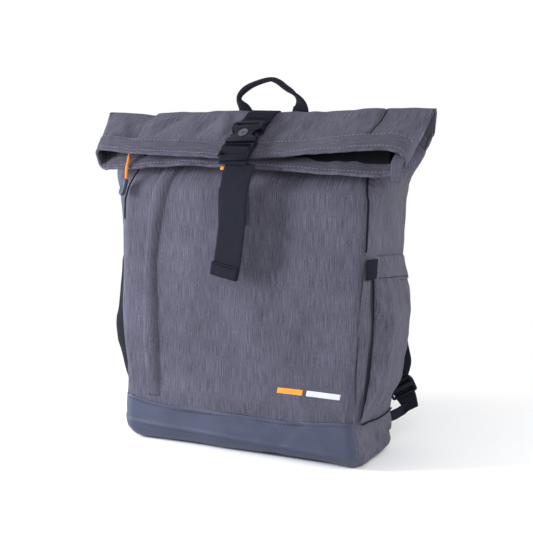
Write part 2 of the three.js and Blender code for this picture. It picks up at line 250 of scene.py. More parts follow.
def heather(name, crosswise=False, tone=1.0):
    """Two-tone yarn-dyed cloth: light and dark streaks along the warp, a fine weave and slow cloudiness."""

    def yarn_scale(across, along):
        return (along, across, across) if crosswise else (across, along, along)

    look = Look(name, "heather_fabric", Sheen_Weight=0.05, Sheen_Roughness=0.5, Specular_IOR_Level=0.15)
    streak = look.noise(look.uv, yarn_scale(1150, 46), 3.0, 0.62)
    fine = look.noise(look.uv, yarn_scale(2100, 300), 2.0, 0.6)
    cloud = look.noise(look.uv, (16, 11, 13), 2.0, 0.5)
    yarn = look.total(streak, 0.66, fine, 0.34)
    dark = times((0.036, 0.035, 0.05), tone)
    middle = times((0.076, 0.074, 0.103), tone)
    light = times((0.132, 0.129, 0.176), tone)
    base = look.ramp(yarn, (0.34, dark), (0.5, middle), (0.68, light))
    look.colour(look.multiply(base, look.ramp(cloud, (0.3, (0.86,) * 3), (0.7, (1.1,) * 3))))
    look.rough(yarn, 0.95, 0.75)
    weave = look.math("ADD", look.wave(look.uv, 900, "X"), look.wave(look.uv, 900, "Y"))
    look.relief(look.math("ADD", look.math("MULTIPLY", weave, 0.25), yarn), 0.0004, 0.6)
    return look


def webbing(name, colour=(0.0105, 0.0115, 0.0195), rib=1.35, weft=0.9):
    """Woven narrow webbing: ribs along its length, crossed by a finer weft, both given by their period."""
    look = Look(name, "webbing", Specular_IOR_Level=0.08)
    ribs = look.wave(look.uv, 1000 / rib / 2, "X", 0.6)
    crossing = look.wave(look.uv, 1000 / weft / 2, "Y", 1.2)
    dust = look.noise(look.uv, (90, 60, 60), 4.0, 0.6)
    weave = look.total(ribs, 0.6, crossing, 0.4)
    base = look.ramp(weave, (0.1, times(colour, 0.55)), (0.9, times(colour, 1.35)))
    look.colour(look.multiply(base, look.ramp(dust, (0.3, (0.82,) * 3), (0.7, (1.2,) * 3))))
    look.rough(dust, 0.62, 0.82)
    look.relief(weave, 0.00035, 0.8)
    return look


def plain_cloth(name, slot, dark, light, size, roughness=(0.7, 0.95), depth=0.0003, **constants):
    look = Look(name, slot, **constants)
    yarn = look.noise(look.place, (size,) * 3, 3.0, 0.6)
    weave = look.wave(look.place, size * 0.6, "DIAGONAL", 2.0)
    both = look.total(yarn, 0.6, weave, 0.4)
    look.colour(look.ramp(both, (0.3, dark), (0.7, light)))
    look.rough(yarn, *roughness)
    look.relief(both, depth, 0.7)
    return look


def coated(name):
    """Polyurethane-coated cloth: fine pebbled grain, a soft satin face, faint handling marks."""
    look = Look(name, "coated_fabric", Specular_IOR_Level=0.45, Coat_Weight=0.08, Coat_Roughness=0.45)
    fine = look.noise(look.place, (2600,) * 3, 2.0)
    marks = look.noise(look.place, (30, 30, 55), 4.0, 0.6)
    dark, middle, light = (0.024, 0.031, 0.062), (0.031, 0.039, 0.076), (0.039, 0.048, 0.09)
    look.colour(look.ramp(marks, (0.3, dark), (0.55, middle), (0.8, light)))
    look.rough(marks, 0.42, 0.56)
    look.relief(look.total(look.cells(1300.0), 0.8, fine, 0.3), 0.0002, 0.5)
    return look


def moulded(name, slot, colour, roughness, **constants):
    """Moulded plastic or rubber: spark-eroded texture, slightly polished where it is handled."""
    look = Look(name, slot, **constants)
    texture = look.noise(look.place, (1800,) * 3, 3.0)
    wear = look.noise(look.place, (70, 70, 70), 3.0)
    look.colour(look.ramp(wear, (0.3, times(colour, 0.85)), (0.7, times(colour, 1.2))))
    look.rough(wear, roughness - 0.08, roughness + 0.1)
    look.relief(texture, 0.00008, 0.5)
    return look


def air_mesh(name):
    """Open knitted spacer mesh: rows of small round holes."""
    look = Look(name, "air_mesh", Specular_IOR_Level=0.08)
    holes = look.cells(420.0, 0.25)
    look.colour(look.ramp(holes, (0.12, (0.002, 0.002, 0.003)), (0.42, (0.012, 0.0125, 0.017))))
    look.rough(holes, 0.95, 0.7)
    look.relief(holes, 0.0009, 0.9)
    return look


HEATHER = heather("heather_along")
HEATHER_CROSS = heather("heather_across", crosswise=True, tone=0.88)
HEATHER_SIDE = heather("heather_side")
WEBBING = webbing("webbing_weave")
COATED = coated("coated_grain")
PLASTIC = moulded(
    "buckle_acetal", "buckle_plastic", (0.0065, 0.0073, 0.0135), 0.36, Specular_IOR_Level=0.12
)
EMBLEM = moulded(
    "emblem_face", "emblem_plastic", (0.05, 0.053, 0.07), 0.3, Coat_Weight=0.3, Coat_Roughness=0.2
)
RUBBER = moulded(
    "puller_rubber_face", "puller_rubber", (0.03, 0.04, 0.075), 0.5, Specular_IOR_Level=0.3
)
METAL = moulded("slider_nickel", "zip_metal", (0.2, 0.2, 0.22), 0.32, Metallic=1.0)
MESH = air_mesh("air_mesh_knit")
ORANGE = plain_cloth(
    "orange_braid", "orange_cord", (0.62, 0.13, 0.006), (0.95, 0.33, 0.02), 1500, Sheen_Weight=0.1
)
INK = {"size": 900, "roughness": (0.5, 0.7)}
ORANGE_PRINT = plain_cloth("orange_ink", "orange_print", (0.75, 0.24, 0.012), (0.9, 0.33, 0.03), **INK)
PALE_PRINT = plain_cloth("pale_ink", "pale_print", (0.5, 0.52, 0.6), (0.62, 0.64, 0.74), **INK)
LINING = plain_cloth("lining_weave", "lining", (0.03, 0.031, 0.036), (0.06, 0.062, 0.07), 1100)
FOAM = plain_cloth("foam_cells", "foam", (0.02, 0.02, 0.023), (0.045, 0.045, 0.05), 700, depth=0.0005)
ZIP = plain_cloth(
    "zip_knit", "zip_tape", (0.003, 0.003, 0.0045), (0.009, 0.009, 0.012), 1000, Specular_IOR_Level=0.08
)
THREAD = plain_cloth("pale_thread", "heather_fabric", (0.13, 0.13, 0.185), (0.24, 0.24, 0.33), 3000)
THREAD_DARK = plain_cloth(
    "dark_thread", "webbing", (0.004, 0.004, 0.006), (0.01, 0.011, 0.016), 3000, Specular_IOR_Level=0.08
)
THREAD_NAVY = plain_cloth("navy_thread", "coated_fabric", (0.008, 0.01, 0.022), (0.02, 0.026, 0.05), 3000)


# ---- building meshes ----
def piece(name, vertices, faces, look, body, replaces=(), uv=None):
    """A mesh object from vertices in millimetres; uv has one pair for each corner of each face."""
    mesh = bpy.data.meshes.new(name)
    mesh.from_pydata(row_frame(vertices).tolist(), [], [tuple(map(int, f)) for f in faces])
    if uv is not None:
        mesh.uv_layers.new(name="UVMap").data.foreach_set("uv", np.asarray(uv, np.float32).ravel() * MM)
    mesh.polygons.foreach_set("use_smooth", [True] * len(mesh.polygons))
    mesh.materials.append(look.material)
    obj = bpy.data.objects.new(name, mesh)
    bpy.context.scene.collection.objects.link(obj)
    if body:
        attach(obj, body)
    if replaces:
        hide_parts(*replaces)
    return obj


def run_of(points):
    """How far along a row of points each one lies."""
    return np.concatenate([[0], np.cumsum(np.linalg.norm(np.diff(points, axis=0), axis=1))])


def normals_of(grid, closed=False, flip=False):
    along = np.gradient(grid, axis=0)
    across = (np.roll(grid, -1, 1) - np.roll(grid, 1, 1)) / 2 if closed else np.gradient(grid, axis=1)
    normal = unit(np.cross(across, along))
    return -normal if flip else normal


def raised(grid, height):
    """The grid moved out along its normals."""
    return grid + normals_of(grid) * np.asarray(height)[..., None]


def border(rows, columns):
    """The places round the edge of a grid, in order."""
    ring = [(0, j) for j in range(columns)] + [(i, columns - 1) for i in range(1, rows)]
    ring += [(rows - 1, j) for j in range(columns - 2, -1, -1)]
    return ring + [(i, 0) for i in range(rows - 2, 0, -1)]


def cloth_uv(grid):
    """Lengths across and along the cloth, for a grid that brings no map of its own."""
    steps_across = np.linalg.norm(np.diff(grid, axis=1), axis=-1).mean(0)
    steps_along = np.linalg.norm(np.diff(grid, axis=0), axis=-1).mean(1)
    a = np.concatenate([[0], np.cumsum(steps_across)])
    b = np.concatenate([[0], np.cumsum(steps_along)])
    return np.stack(np.meshgrid(a - a.mean(), b), -1)


def cloth(name, grid, look, body, thickness=LAYER, replaces=(), closed=False, flip=False, uv=None):
    """A layer of cloth with rounded edges. Rows run along it, columns across; across x along points out."""
    grid = np.asarray(grid, float)
    rows, columns = grid.shape[:2]
    inner = grid - normals_of(grid, closed, flip) * thickness
    uv = cloth_uv(grid) if uv is None else uv
    if closed and uv.shape[1] == columns:
        uv = np.concatenate([uv, 2 * uv[:, -1:] - uv[:, -2:-1]], 1)
    r, c = np.meshgrid(np.arange(rows - 1), np.arange(columns if closed else columns - 1), indexing="ij")
    r, c = r.ravel(), c.ravel()
    corner = [(r, c), (r, c + 1), (r + 1, c + 1), (r + 1, c)]
    index = np.stack([a * columns + b % columns for a, b in corner], 1)
    face_uv = np.stack([uv[a, b] for a, b in corner], 1)
    count = rows * columns
    outer_faces = index[:, ::-1] if flip else index
    outer_uv = face_uv[:, ::-1] if flip else face_uv
    faces = [outer_faces, outer_faces[:, ::-1] + count]
    uvs = [outer_uv, outer_uv[:, ::-1]]
    if closed:
        first = [(0, j) for j in range(columns)]
        last = [(rows - 1, j) for j in range(columns - 1, -1, -1)]
        rims = [first + first[:1], last + last[:1]]
    else:
        ring = border(rows, columns)
        rims = [ring + ring[:1]]
    extra = []
    for ring in rims:
        place = {}
        for i, j in ring[:-1]:
            inside_i = min(max(i, 1), rows - 2)
            inside_j = j if closed else min(max(j, 1), columns - 2)
            outward = unit(grid[i, j] - grid[inside_i, inside_j])
            place[i, j] = count * 2 + len(extra)
            extra.append((grid[i, j] + inner[i, j]) / 2 + outward * thickness * 0.35)
        for (i0, j0), (i1, j1) in zip(ring, ring[1:]):
            a, b, m0, m1 = i0 * columns + j0, i1 * columns + j1, place[i0, j0], place[i1, j1]
            pair = [(b, a, m0, m1), (m1, m0, a + count, b + count)]
            faces.append(np.array([p[::-1] for p in pair] if flip else pair))
            uvs.append(np.broadcast_to(uv[i0, j0], (2, 4, 2)))
    vertices = np.concatenate([grid.reshape(-1, 3), inner.reshape(-1, 3), np.array(extra)])
    return piece(name, vertices, np.concatenate(faces), look, body, replaces, np.concatenate(uvs))


def resample(path, step):
    """A smooth curve through the path's points with even steps."""
    path = np.asarray(path, float)
    fine = []
    for i in range(len(path) - 1):
        p0, p1, p2, p3 = path[max(i - 1, 0)], path[i], path[i + 1], path[min(i + 2, len(path) - 1)]
        for t in np.linspace(0, 1, 24, endpoint=False):
            square, cube = 2 * p0 - 5 * p1 + 4 * p2 - p3, 3 * p1 - p0 - 3 * p2 + p3
            fine.append(0.5 * (2 * p1 + (p2 - p0) * t + square * t * t + cube * t**3))
    fine = np.array(fine + [path[-1]])
    length = run_of(fine)
    at = np.linspace(0, length[-1], max(3, int(length[-1] / step) + 1))
    return np.stack([np.interp(at, length, fine[:, k]) for k in range(3)], 1), at


def along_path(at, values):
    """Values given at even shares of a path, read at each of its resampled points."""
    if np.ndim(values) == 0:
        return np.full(len(at), float(values))
    values = np.asarray(values, float)
    keys = np.linspace(0, 1, len(values))
    if values.ndim == 1:
        return np.interp(at / at[-1], keys, values)
    return np.stack([np.interp(at / at[-1], keys, column) for column in values.T], 1)


def ribbon(
    name, path, width, body, thickness=1.6, look=WEBBING, across=(1, 0, 0), replaces=(), step=2.5, flip=False
):
    """Webbing along a path. Width and across may be one value, or one for each point of the path."""
    line, at = resample(path, step)
    widths = along_path(at, width)
    across = np.asarray(across, float)
    side = unit(along_path(at, across) if across.ndim == 2 else np.tile(across, (len(line), 1)))
    s = np.linspace(-0.5, 0.5, 13)
    grid = line[:, None] + side[:, None] * (widths[:, None] * s)[..., None]
    uv = np.stack(np.broadcast_arrays(widths[:, None] * s, at[:, None]), -1)
    return cloth(name, grid, look, body, thickness, replaces, flip=flip, uv=uv)


def loft(name, grid, tips, look, body, replaces=(), uv=None):
    """Rings of points joined into a closed skin, each end a fan to its tip, or flat if there are no tips."""
    rows, columns = grid.shape[:2]
    faces = []
    for i in range(rows - 1):
        for j in range(columns):
            k = (j + 1) % columns
            faces.append((i * columns + j, i * columns + k, (i + 1) * columns + k, (i + 1) * columns + j))
    last, tip = (rows - 1) * columns, rows * columns
    if len(tips):
        for j in range(columns):
            k = (j + 1) % columns
            faces += [(k, j, tip), (last + j, last + k, tip + 1)]
    else:
        faces += [range(columns)[::-1], range(last, tip)]
    vertices = np.concatenate([grid.reshape(-1, 3), np.reshape(tips, (-1, 3))])
    return piece(name, vertices, faces, look, body, replaces, uv)


def tube(name, path, radius, look, body, replaces=(), sides=12, step=1.5):
    """A round cord with blunt ends along a path."""
    line, at = resample(path, step)
    tangent = unit(np.gradient(line, axis=0))
    guide = np.array([0.31, 0.2, 0.93]) if abs(tangent[0][2]) < 0.8 else np.array([0.93, 0.3, 0.2])
    a = unit(np.cross(tangent, guide))
    b = np.cross(tangent, a)
    turn = np.linspace(0, math.tau, sides, endpoint=False)
    ring = np.cos(turn)[None, :, None] * a[:, None] + np.sin(turn)[None, :, None] * b[:, None]
    blunt = radius * 0.5
    tips = [line[0] - tangent[0] * blunt, line[-1] + tangent[-1] * blunt]
    return loft(name, line[:, None] + ring * radius, tips, look, body, replaces)


def shade_cord(name, line, radius, body):
    """A dark cord sunk in a seam: painted shade standing in for the seam's shadow."""
    return tube(name, line, radius, THREAD_DARK, body, (), 8, 1.5)


def coil_wire(name, line, body, replaces):
    """A thin wound wire, four-sided, following a finely sampled line."""
    tangent = unit(np.gradient(line, axis=0))
    a = unit(np.cross(tangent, [0.3, 0.5, 0.81]))
    b = np.cross(tangent, a)
    grid = np.stack([line + side * 0.35 for side in (a, b, -a, -b)], 1)
    return loft(name, grid, [], ZIP, body, replaces)


def stitches(name, line, normal, look, body, length=3.0, gap=1.5, radius=0.42, sink=0.1):
    """Thread stitches along a line on cloth, with the cloth's outward normal, or one for each point."""
    line = np.asarray(line, float)
    normal = unit(np.broadcast_to(np.asarray(normal, float), line.shape))
    along = run_of(line)
    vertices, faces = [], []
    for start in np.arange(gap, along[-1] - length, length + gap):
        ends = [np.array([np.interp(start + d, along, line[:, k]) for k in range(3)]) for d in (0, length)]
        out = unit(np.array([np.interp(start + length / 2, along, normal[:, k]) for k in range(3)]))
        side = np.cross(unit(ends[1] - ends[0]), out)
        n = len(vertices)
        for share, scale, lift in ((0, 0.35, -0.6), (0.2, 0.95, 0.35), (0.8, 0.95, 0.35), (1, 0.35, -0.6)):
            centre = ends[0] + (ends[1] - ends[0]) * share + out * (lift * radius + sink)
            for angle in range(0, 360, 60):
                c, s = math.cos(math.radians(angle)), math.sin(math.radians(angle))
                vertices.append(centre + (side * c + out * s) * radius * scale)
        for i in range(3):
            for j in range(6):
                k = (j + 1) % 6
                faces.append((n + i * 6 + j, n + i * 6 + k, n + (i + 1) * 6 + k, n + (i + 1) * 6 + j))
        faces.append(tuple(n + j for j in range(5, -1, -1)))
        faces.append(tuple(n + 18 + j for j in range(6)))
    return piece(name, vertices, faces, look, body)


# ---- the body's section ----
BASE_ROUND = 18.0
RIGHT_WIDTH = [(0, 148), (14, 148), (51, 141.5), (87, 142), (123, 144)]
RIGHT_WIDTH += [(175, 147), (220, 151), (244, 154.5), (287, 156), (400, 157)]
LEFT_WIDTH = [(0, 151), (12, 154), (20, 156.5), (42, 156.5), (69, 154), (91, 154.5), (107, 157)]
LEFT_WIDTH += [(131, 159), (159, 159), (204, 156), (228, 155), (290, 152.5), (400, 152)]
LEFT_EAR = [(30, 0), (120, 2), (200, 8), (250, 16), (285, 28), (320, 47), (345, 60), (400, 64)]
RIGHT_EAR = [(0, 0), (25, 2), (60, 11), (123, 12), (175, 10), (220, 7), (250, 4), (290, 6)]
RIGHT_EAR += [(306, 14), (324, 26), (342, 38), (366, 46), (400, 48)]


def half_width(z, right):
    """The bag leans a little to its left as it stands, so its two halves differ."""
    return np.where(right, interp(z, RIGHT_WIDTH), interp(z, LEFT_WIDTH))


def front_pull(z, right):
    """Near the neck the left side panel reaches round to the front."""
    return np.where(right, interp(z, [(296, 0), (345, 14)]), interp(z, [(284, 0), (320, 12), (350, 16)]))


def tuck(z):
    """How far the wall turns in under the bag near the floor."""
    t = np.clip((BASE_ROUND - z) / BASE_ROUND, 0, 1)
    return BASE_ROUND * (1 - np.sqrt(np.maximum(1 - t * t, 0)))


def front_y(z):
    return -HALF_D + 70 * smooth(z, 296, 376) + tuck(z)


def back_y(z):
    return HALF_D - 36 * smooth(z, 286, 380) - tuck(z) - 9 * (1 - smooth(z, 2, 40))


def corner_radius(z, rear):
    low = 26.0 if rear else 15.0
    r = low + (12 - low) * smooth(z, 20, 190)
    return np.minimum(r, (back_y(z) - front_y(z)) * 0.3)


def wall_reach(z, right, rear):
    """Where the panel's flat part ends, and the radius of its corner."""
    half, r = half_width(z, right) - tuck(z) * 0.5, corner_radius(z, rear)
    return (half if rear else half - front_pull(z, right)) - r, r


def wall(a, z, rear):
    a, z = np.broadcast_arrays(np.asarray(a, float), np.asarray(z, float))
    flat, r = wall_reach(z, a > 0, rear)
    s = np.abs(a) * (flat + r * math.pi / 4)
    turn = np.clip((s - flat) / r, 0, None)
    x = np.where(s < flat, s, flat + r * np.sin(turn))
    inward = r * (1 - np.cos(turn))
    return np.stack([np.sign(a) * x, back_y(z) - inward if rear else front_y(z) + inward, z], -1)


def front_face(a, z):
    """a runs from -1 at the left seam to 1 at the right one."""
    return wall(a, z, False)


def back_face(a, z):
    """a runs from -1 at the left seam to 1 at the right one."""
    return wall(a, z, True)


def side_face(b, z, side):
    """b runs from 0 at the front seam to 1 at the back one. Higher up the side spreads into an ear."""
    b, z = np.broadcast_arrays(np.asarray(b, float), np.asarray(z, float))
    hw = half_width(z, side > 0) - tuck(z) * 0.5 - front_pull(z, side > 0) * (1 - b) ** 2
    rf, rb = corner_radius(z, False), corner_radius(z, True)
    first, last = rf * math.pi / 4, rb * math.pi / 4
    flat = back_y(z) - front_y(z) - rf - rb
    s = b * (first + flat + last)
    turn_f = np.clip((first - s) / rf, 0, None)
    turn_b = np.clip((s - first - flat) / rb, 0, None)
    y = front_y(z) + rf * (1 - np.sin(turn_f)) + np.clip(s - first, 0, flat) + rb * np.sin(turn_b)
    x = hw - rf * (1 - np.cos(turn_f)) - rb * (1 - np.cos(turn_b))
    corner = 1 - math.sin(math.pi / 4)
    first_y, last_y = front_y(z) + rf * corner, back_y(z) - rb * corner
    across = np.clip(np.abs(2 * (y - first_y) / (last_y - first_y) - 1), 0, 1)
    power = 2.2 - 1.15 * smooth(z, 300, 352)
    ear = interp(z, RIGHT_EAR if side > 0 else LEFT_EAR)
    return np.stack([side * (x + ear * np.maximum(1 - across**power, 0)), y, z], -1)


def wall_x(y, z, side):
    """How far out the side panel stands at a depth and a height."""
    out = np.empty(y.shape)
    for i in np.ndindex(y.shape):
        line = side_face(np.linspace(0, 1, 60), np.full(60, z[i]), side)
        out[i] = np.interp(y[i], line[:, 1], np.abs(line[:, 0]))
    return out


# ---- front panel, with the swell of its placket ----
BAND_SEAM = [(-160, 56), (-150, 54), (-128, 50), (-104, 47), (-78, 45.5), (0, 46.5), (56, 46), (101, 50)]
BAND_SEAM += [(125, 52.5), (160, 54)]
# Each crease of the front: its place across at z 320, its slant, its height and its width.
FRONT_CREASES = [(52, 0.10, -1.5, 9), (88, 0.16, 1.0, 11), (-36, -0.12, -0.9, 10), (118, 0.2, -0.8, 9)]


def placket_sewn(z):
    sewn = [(58, -104), (142, -107), (220, -107), (262, -101), (300, -90), (330, -78), (400, -70)]
    return interp(z, sewn)


def placket_free(z):
    free = [(0, -120), (58, -119), (142, -123), (200, -121), (282, -112), (324, -97), (400, -90)]
    return interp(z, free)


def band_top(a):
    """The height of the seam between the front panel and the coated band."""
    return interp(front_face(a, np.full_like(a, 48.0))[..., 0], BAND_SEAM)


def front_relief(p):
    """Height of the front panel's face over its plain shape."""
    x, z = p[..., 0], p[..., 2]
    inside = 1 - smooth(np.abs(x), 118, 150)
    height = 2.6 * (1 - (x / 150) ** 2) * smooth(z, 30, 120) * (1 - smooth(z, 290, 350))
    height += inside * (1.0 * ripple(x, z * 0.6, 95, 3) + 0.45 * ripple(x, z * 0.35, 38, 5))
    height += 1.4 * bump(z, 60, 10) * inside
    for middle, slant, depth, width in FRONT_CREASES:
        height += depth * bump(x - middle - slant * (z - 320), 0, width) * smooth(z, 120, 310)
    return height


def on_front(x, z, lift=0.0):
    """Points on the front panel's face, and its normals."""
    x, z = np.broadcast_arrays(np.asarray(x, float), np.asarray(z, float))

    def face(xx, zz):
        flat, r = wall_reach(zz, xx > 0, False)
        return front_face(xx / (flat + r * math.pi / 4), zz)

    p = face(x, z)
    normal = unit(np.cross(face(x + 0.5, z) - face(x - 0.5, z), face(x, z + 0.5) - face(x, z - 0.5)))
    return p + normal * (front_relief(p) + lift)[..., None], normal


def front_grid():
    a = np.linspace(-1, 1, 170)[None]
    low = band_top(a) - 3
    z = low + (NECK_Z + 4 - low) * np.linspace(0, 1, 170)[:, None]
    plain = front_face(a, z)
    return raised(plain, front_relief(plain) * smooth(z - low - 3, -1.5, 7))


front = front_grid()
cloth("front_panel_cloth", front, HEATHER, "root", LAYER, ["front_panel"], uv=front[..., [0, 2]])


# ---- side and back panels ----
def side_relief(p, side):
    y, z = p[..., 1], p[..., 2]
    height = 0.9 * ripple(y, z * 0.6, 70, 21 + side) * smooth(z, 60, 100)
    height += 0.7 * ripple(y * 1.2, z * 0.5, 30, 25 + side) * smooth(z, 230, 290)
    # Gathers where the side is tucked into the base.
    rear = 1 - smooth(y, back_y(z) - 22, back_y(z) - 6)
    gather = (1 - smooth(z, 24, 52)) * smooth(z, 2, 12) * rear
    return height + gather * 1.5 * np.sin((y * 0.55 + z * 0.75) / 3.1 + 1.2 * ripple(y, z, 26, 31 + side))


for side, word in ((-1, "left"), (1, "right")):
    b = np.linspace(0, 1, 84)[None, ::side]
    z = np.concatenate([np.linspace(1.2, 60, 40), np.linspace(62, NECK_Z, 130)])[:, None]
    plain = side_face(b, z, side)
    grid = raised(plain, side_relief(plain, side))
    uv = grid[..., 1:] * [side, 1]
    cloth(f"side_panel_{word}_cloth", grid, HEATHER_SIDE, "root", LAYER, [f"side_panel_{word}"], uv=uv)

z = np.concatenate([np.linspace(1.2, 40, 20), np.linspace(43, NECK_Z, 110)])[:, None]
plain = back_face(np.linspace(1, -1, 150)[None], z)
rear = raised(plain, 0.8 * ripple(plain[..., 0], plain[..., 2], 90, 41) * smooth(plain[..., 2], 20, 80))
cloth("back_panel_cloth", rear, HEATHER, "root", LAYER, ["back_panel"], uv=rear[..., [0, 2]])


# ---- coated base ----
def band_grid():
    """The front band, with a pressed crease low down and a few dents."""
    a = np.linspace(-1, 1, 200)[None]
    band = front_face(a, 1.0 + (band_top(a) - 1.0) * np.linspace(0, 1, 46)[:, None] ** 1.15)
    x, z = band[..., 0], band[..., 2]
    middle = 1 - smooth(np.abs(x), 110, 146)
    crease = 16 - 4.5 * (x / 150)
    relief = 1.0 + 0.7 * ripple(x * 0.5, z, 60, 51) * middle
    relief += 0.7 * bump(z, crease + 2, 2.5) - 2.2 * (1 - smooth(z, crease - 0.9, crease + 0.4)) * middle
    slanted = x - 0.9 * (z - 30)
    relief += 0.45 * bump(slanted, 38, 9) - 0.5 * bump(slanted, 62, 8) + 0.5 * bump(x + 0.7 * z, 120, 10)
    return raised(band, relief)


def base_ring(z, shrink):
    """The bag's outline near the floor, drawn in towards its middle."""
    a, b = np.linspace(-1, 1, 90), np.linspace(0, 1, 40)
    level = np.array(max(z, 1.0))
    runs = [front_face(a, level), side_face(b, level, 1), back_face(-a, level), side_face(1 - b, level, -1)]
    loop = np.concatenate([run[:-1] for run in runs])
    loop[:, :2] *= shrink
    loop[:, 2] = z
    return loop


cloth("base_front_band_cloth", band_grid(), COATED, "root", 1.4, ["base_front_band"])
# The base's rings from its middle outwards: height and share of the bag's outline.
base_rings = [(0.0, 0.02), (0.0, 0.3), (0.0, 0.6), (0.0, 0.91)]
base_rings += [(0.1, 0.935), (0.5, 0.95), (1.0, 0.958), (1.6, 0.958)]
base = np.array([base_ring(*ring) for ring in base_rings])
cloth("base_panel_cloth", base, COATED, "root", 1.4, ["base_panel"], closed=True)

seam_a = np.linspace(-0.97, 0.97, 300)
line = front_face(seam_a, band_top(seam_a) - 3.6)
normal = unit(np.stack([np.gradient(line[:, 1]), -np.gradient(line[:, 0]), 0 * seam_a], 1))
normal = np.where(normal[:, 1:2] > 0, -normal, normal)
stitches("base_band_stitches", line + normal * 0.95, normal, THREAD_NAVY, "root", 3.0, 1.7)

# ---- the fold-over flap ----
# The two lips: how far down the flap each ends, by the share across it, and how high it stands, by x.
LIP_OUTER = [(-1, 89), (-0.97, 86), (-0.9, 88), (-0.75, 91.5), (-0.62, 92.5), (-0.5, 92), (-0.1, 92)]
LIP_OUTER += [(0.12, 91), (0.5, 88), (0.73, 87), (0.9, 86), (0.965, 87), (1, 92)]
LIP_INNER = [(-1, 91), (-0.93, 99), (-0.85, 101), (-0.68, 102), (-0.37, 97), (0, 97), (0.2, 98), (0.5, 99.5)]
LIP_INNER += [(0.88, 101.5), (0.95, 100), (1, 94)]
LIP_OUTER_V = [(-205, 6.5), (-144, 6.2), (-95, 5.7), (-18, 4.8), (23, 5.6), (60, 8.2), (97, 12), (140, 17)]
LIP_OUTER_V += [(172, 19), (205, 17)]
LIP_INNER_V = [(-205, -20), (-188, -19.5), (-172, -14), (-150, -10), (-132, -9), (-72, -4.2), (-18, -5)]
LIP_INNER_V += [(22, -5.5), (98, -6.6), (170, -8), (188, -7), (205, -3)]
FOLD_LINE = [(-213, -4.6), (-152, -6.4), (-146, -6.4), (-120, -5.0), (-50, -1.0), (-22, -1.0), (-8, -3.2)]
FOLD_LINE += [(22, -2.6), (60, 0.8), (145, 5.0), (205, 7.6)]
RIGHT_END = [(0, 202.5), (88, 196), (110, 194)]
LEFT_END = [(0, 214.5), (17, 209.5), (88, 188.5), (110, 187.5)]
# Each wrinkle of the flap: its x at 35 mm down, its slant, height and width, and where it starts and ends.
FLAP_WRINKLES = [
    (-118, -0.35, -2.0, 9, 8, 60), (-92, -0.3, 1.4, 10, 10, 60), (-66, -0.25, -1.6, 7, 15, 62),
    (-40, 0.35, 1.6, 9, 12, 66), (-33, 0.1, -1.6, 5, 30, 70), (34, -0.3, -1.8, 7, 5, 60),
    (56, -0.2, 1.6, 11, 10, 64), (84, 0.25, -1.3, 9, 8, 58), (122, 0.3, 1.2, 10, 8, 60),
    (172, -0.5, -1.5, 7, 10, 50), (186, -0.4, 1.2, 6, 10, 60), (-176, 0.5, 1.0, 8, 10, 60),
]


def round_tube(psi):
    """psi runs once round the flap's tube: the outer layer from left to right, then the inner one back.

    Gives whether it is on the outer layer, and its share across, -1 to 1. The shares crowd towards the two
    ends, where the tube turns sharply.
    """
    outer = psi <= 0.5
    c = np.where(outer, 4 * psi - 1, 3 - 4 * psi)
    return outer, 0.4 * c + 0.6 * np.sin(c * math.pi / 2)


def lip_at(outer, xi):
    return np.where(outer, interp(xi, LIP_OUTER), interp(xi, LIP_INNER))


def flap_half_width(u, right):
    return np.where(right, interp(u, RIGHT_END), interp(u, LEFT_END))


def seam_groove(x):
    """The side seams where they cross the flap: a step down to the end pieces and a stitched groove."""
    left = -5.2 * (1 - smooth(x, -SEAM_X - 1.6, -SEAM_X + 0.6)) * smooth(x, -206, -150)
    grooves = -2.2 * bump(x, -SEAM_X - 0.4, 1.2) - 1.6 * bump(x, SEAM_X - 2, 1.3)
    right = 0.7 * smooth(x, SEAM_X - 1, SEAM_X + 3) * (1 - smooth(x, 170, 196))
    return left + grooves + right


def flap_layers(xi, u):
    """The place across, and the heights of the outer layer, the inner layer and the end crease."""
    x = xi * flap_half_width(u, xi > 0)
    lip_o, lip_i = interp(x, LIP_OUTER_V), interp(x, LIP_INNER_V)
    outer = 6 + (lip_o - 6) * smooth(u, 5, 68)
    inner = -6 + (lip_i + 6) * smooth(u, 25, 95)
    crease = 4.0 + ((lip_o + lip_i) / 2 - 4.0) * smooth(u, 0, 80)
    return x, outer, inner, crease


def flap_wrinkles(x, u):
    height = 0.8 * ripple(x * 0.8, u, 55, 61) + 0.35 * ripple(x, u * 0.5, 24, 63)
    for middle, slant, depth, width, low, high in FLAP_WRINKLES:
        reach = smooth(u, low - 8, low + 12) * (1 - smooth(u, high - 14, high + 6))
        height += depth * bump(x - middle - slant * (u - 35), 0, width) * reach
    return height


def flap_tube(psi, g):
    """The flattened tube of the flap, g being the share of the way from the fold to the lip."""
    psi, g = np.broadcast_arrays(np.asarray(psi, float) % 1.0, np.asarray(g, float))
    on_outer, xi = round_tube(psi)
    u = TUBE_START + (lip_at(on_outer, xi) - TUBE_START) * g
    x, outer, inner, crease = flap_layers(xi, u)
    share, right_end = smooth(u, 4, 70), xi > 0
    power = 7 + np.where(right_end, 12, 30) * share
    root = 1 / (1 + np.where(right_end, 1.4, 2.6) * share)
    shape = np.maximum(1 - np.abs(xi) ** power, 0) ** root
    calm = shape * (1 - smooth(np.abs(xi), 0.93, 1.0))
    wrinkles = flap_wrinkles(x, u) * (1 - 0.5 * smooth(u, 60, 70))
    outer = outer + (seam_groove(x) * (1 - smooth(u, 58, 66)) + wrinkles) * calm
    inner = inner + 0.6 * ripple(x, u, 60, 71) * calm
    v = np.where(on_outer, crease + (outer - crease) * shape, crease + (inner - crease) * shape)
    p = on_flap(x, u, v)
    p[..., 2] += interp(x, FOLD_LINE) * (1 - smooth(u, 0, 46))
    return p


def tube_uv(grid, down):
    """A map for cloth round the tube: x across, and the given lengths down."""
    x = np.concatenate([grid[..., 0], grid[:, :1, 0]], 1)
    return np.stack([x, np.broadcast_to(down, x.shape)], -1)


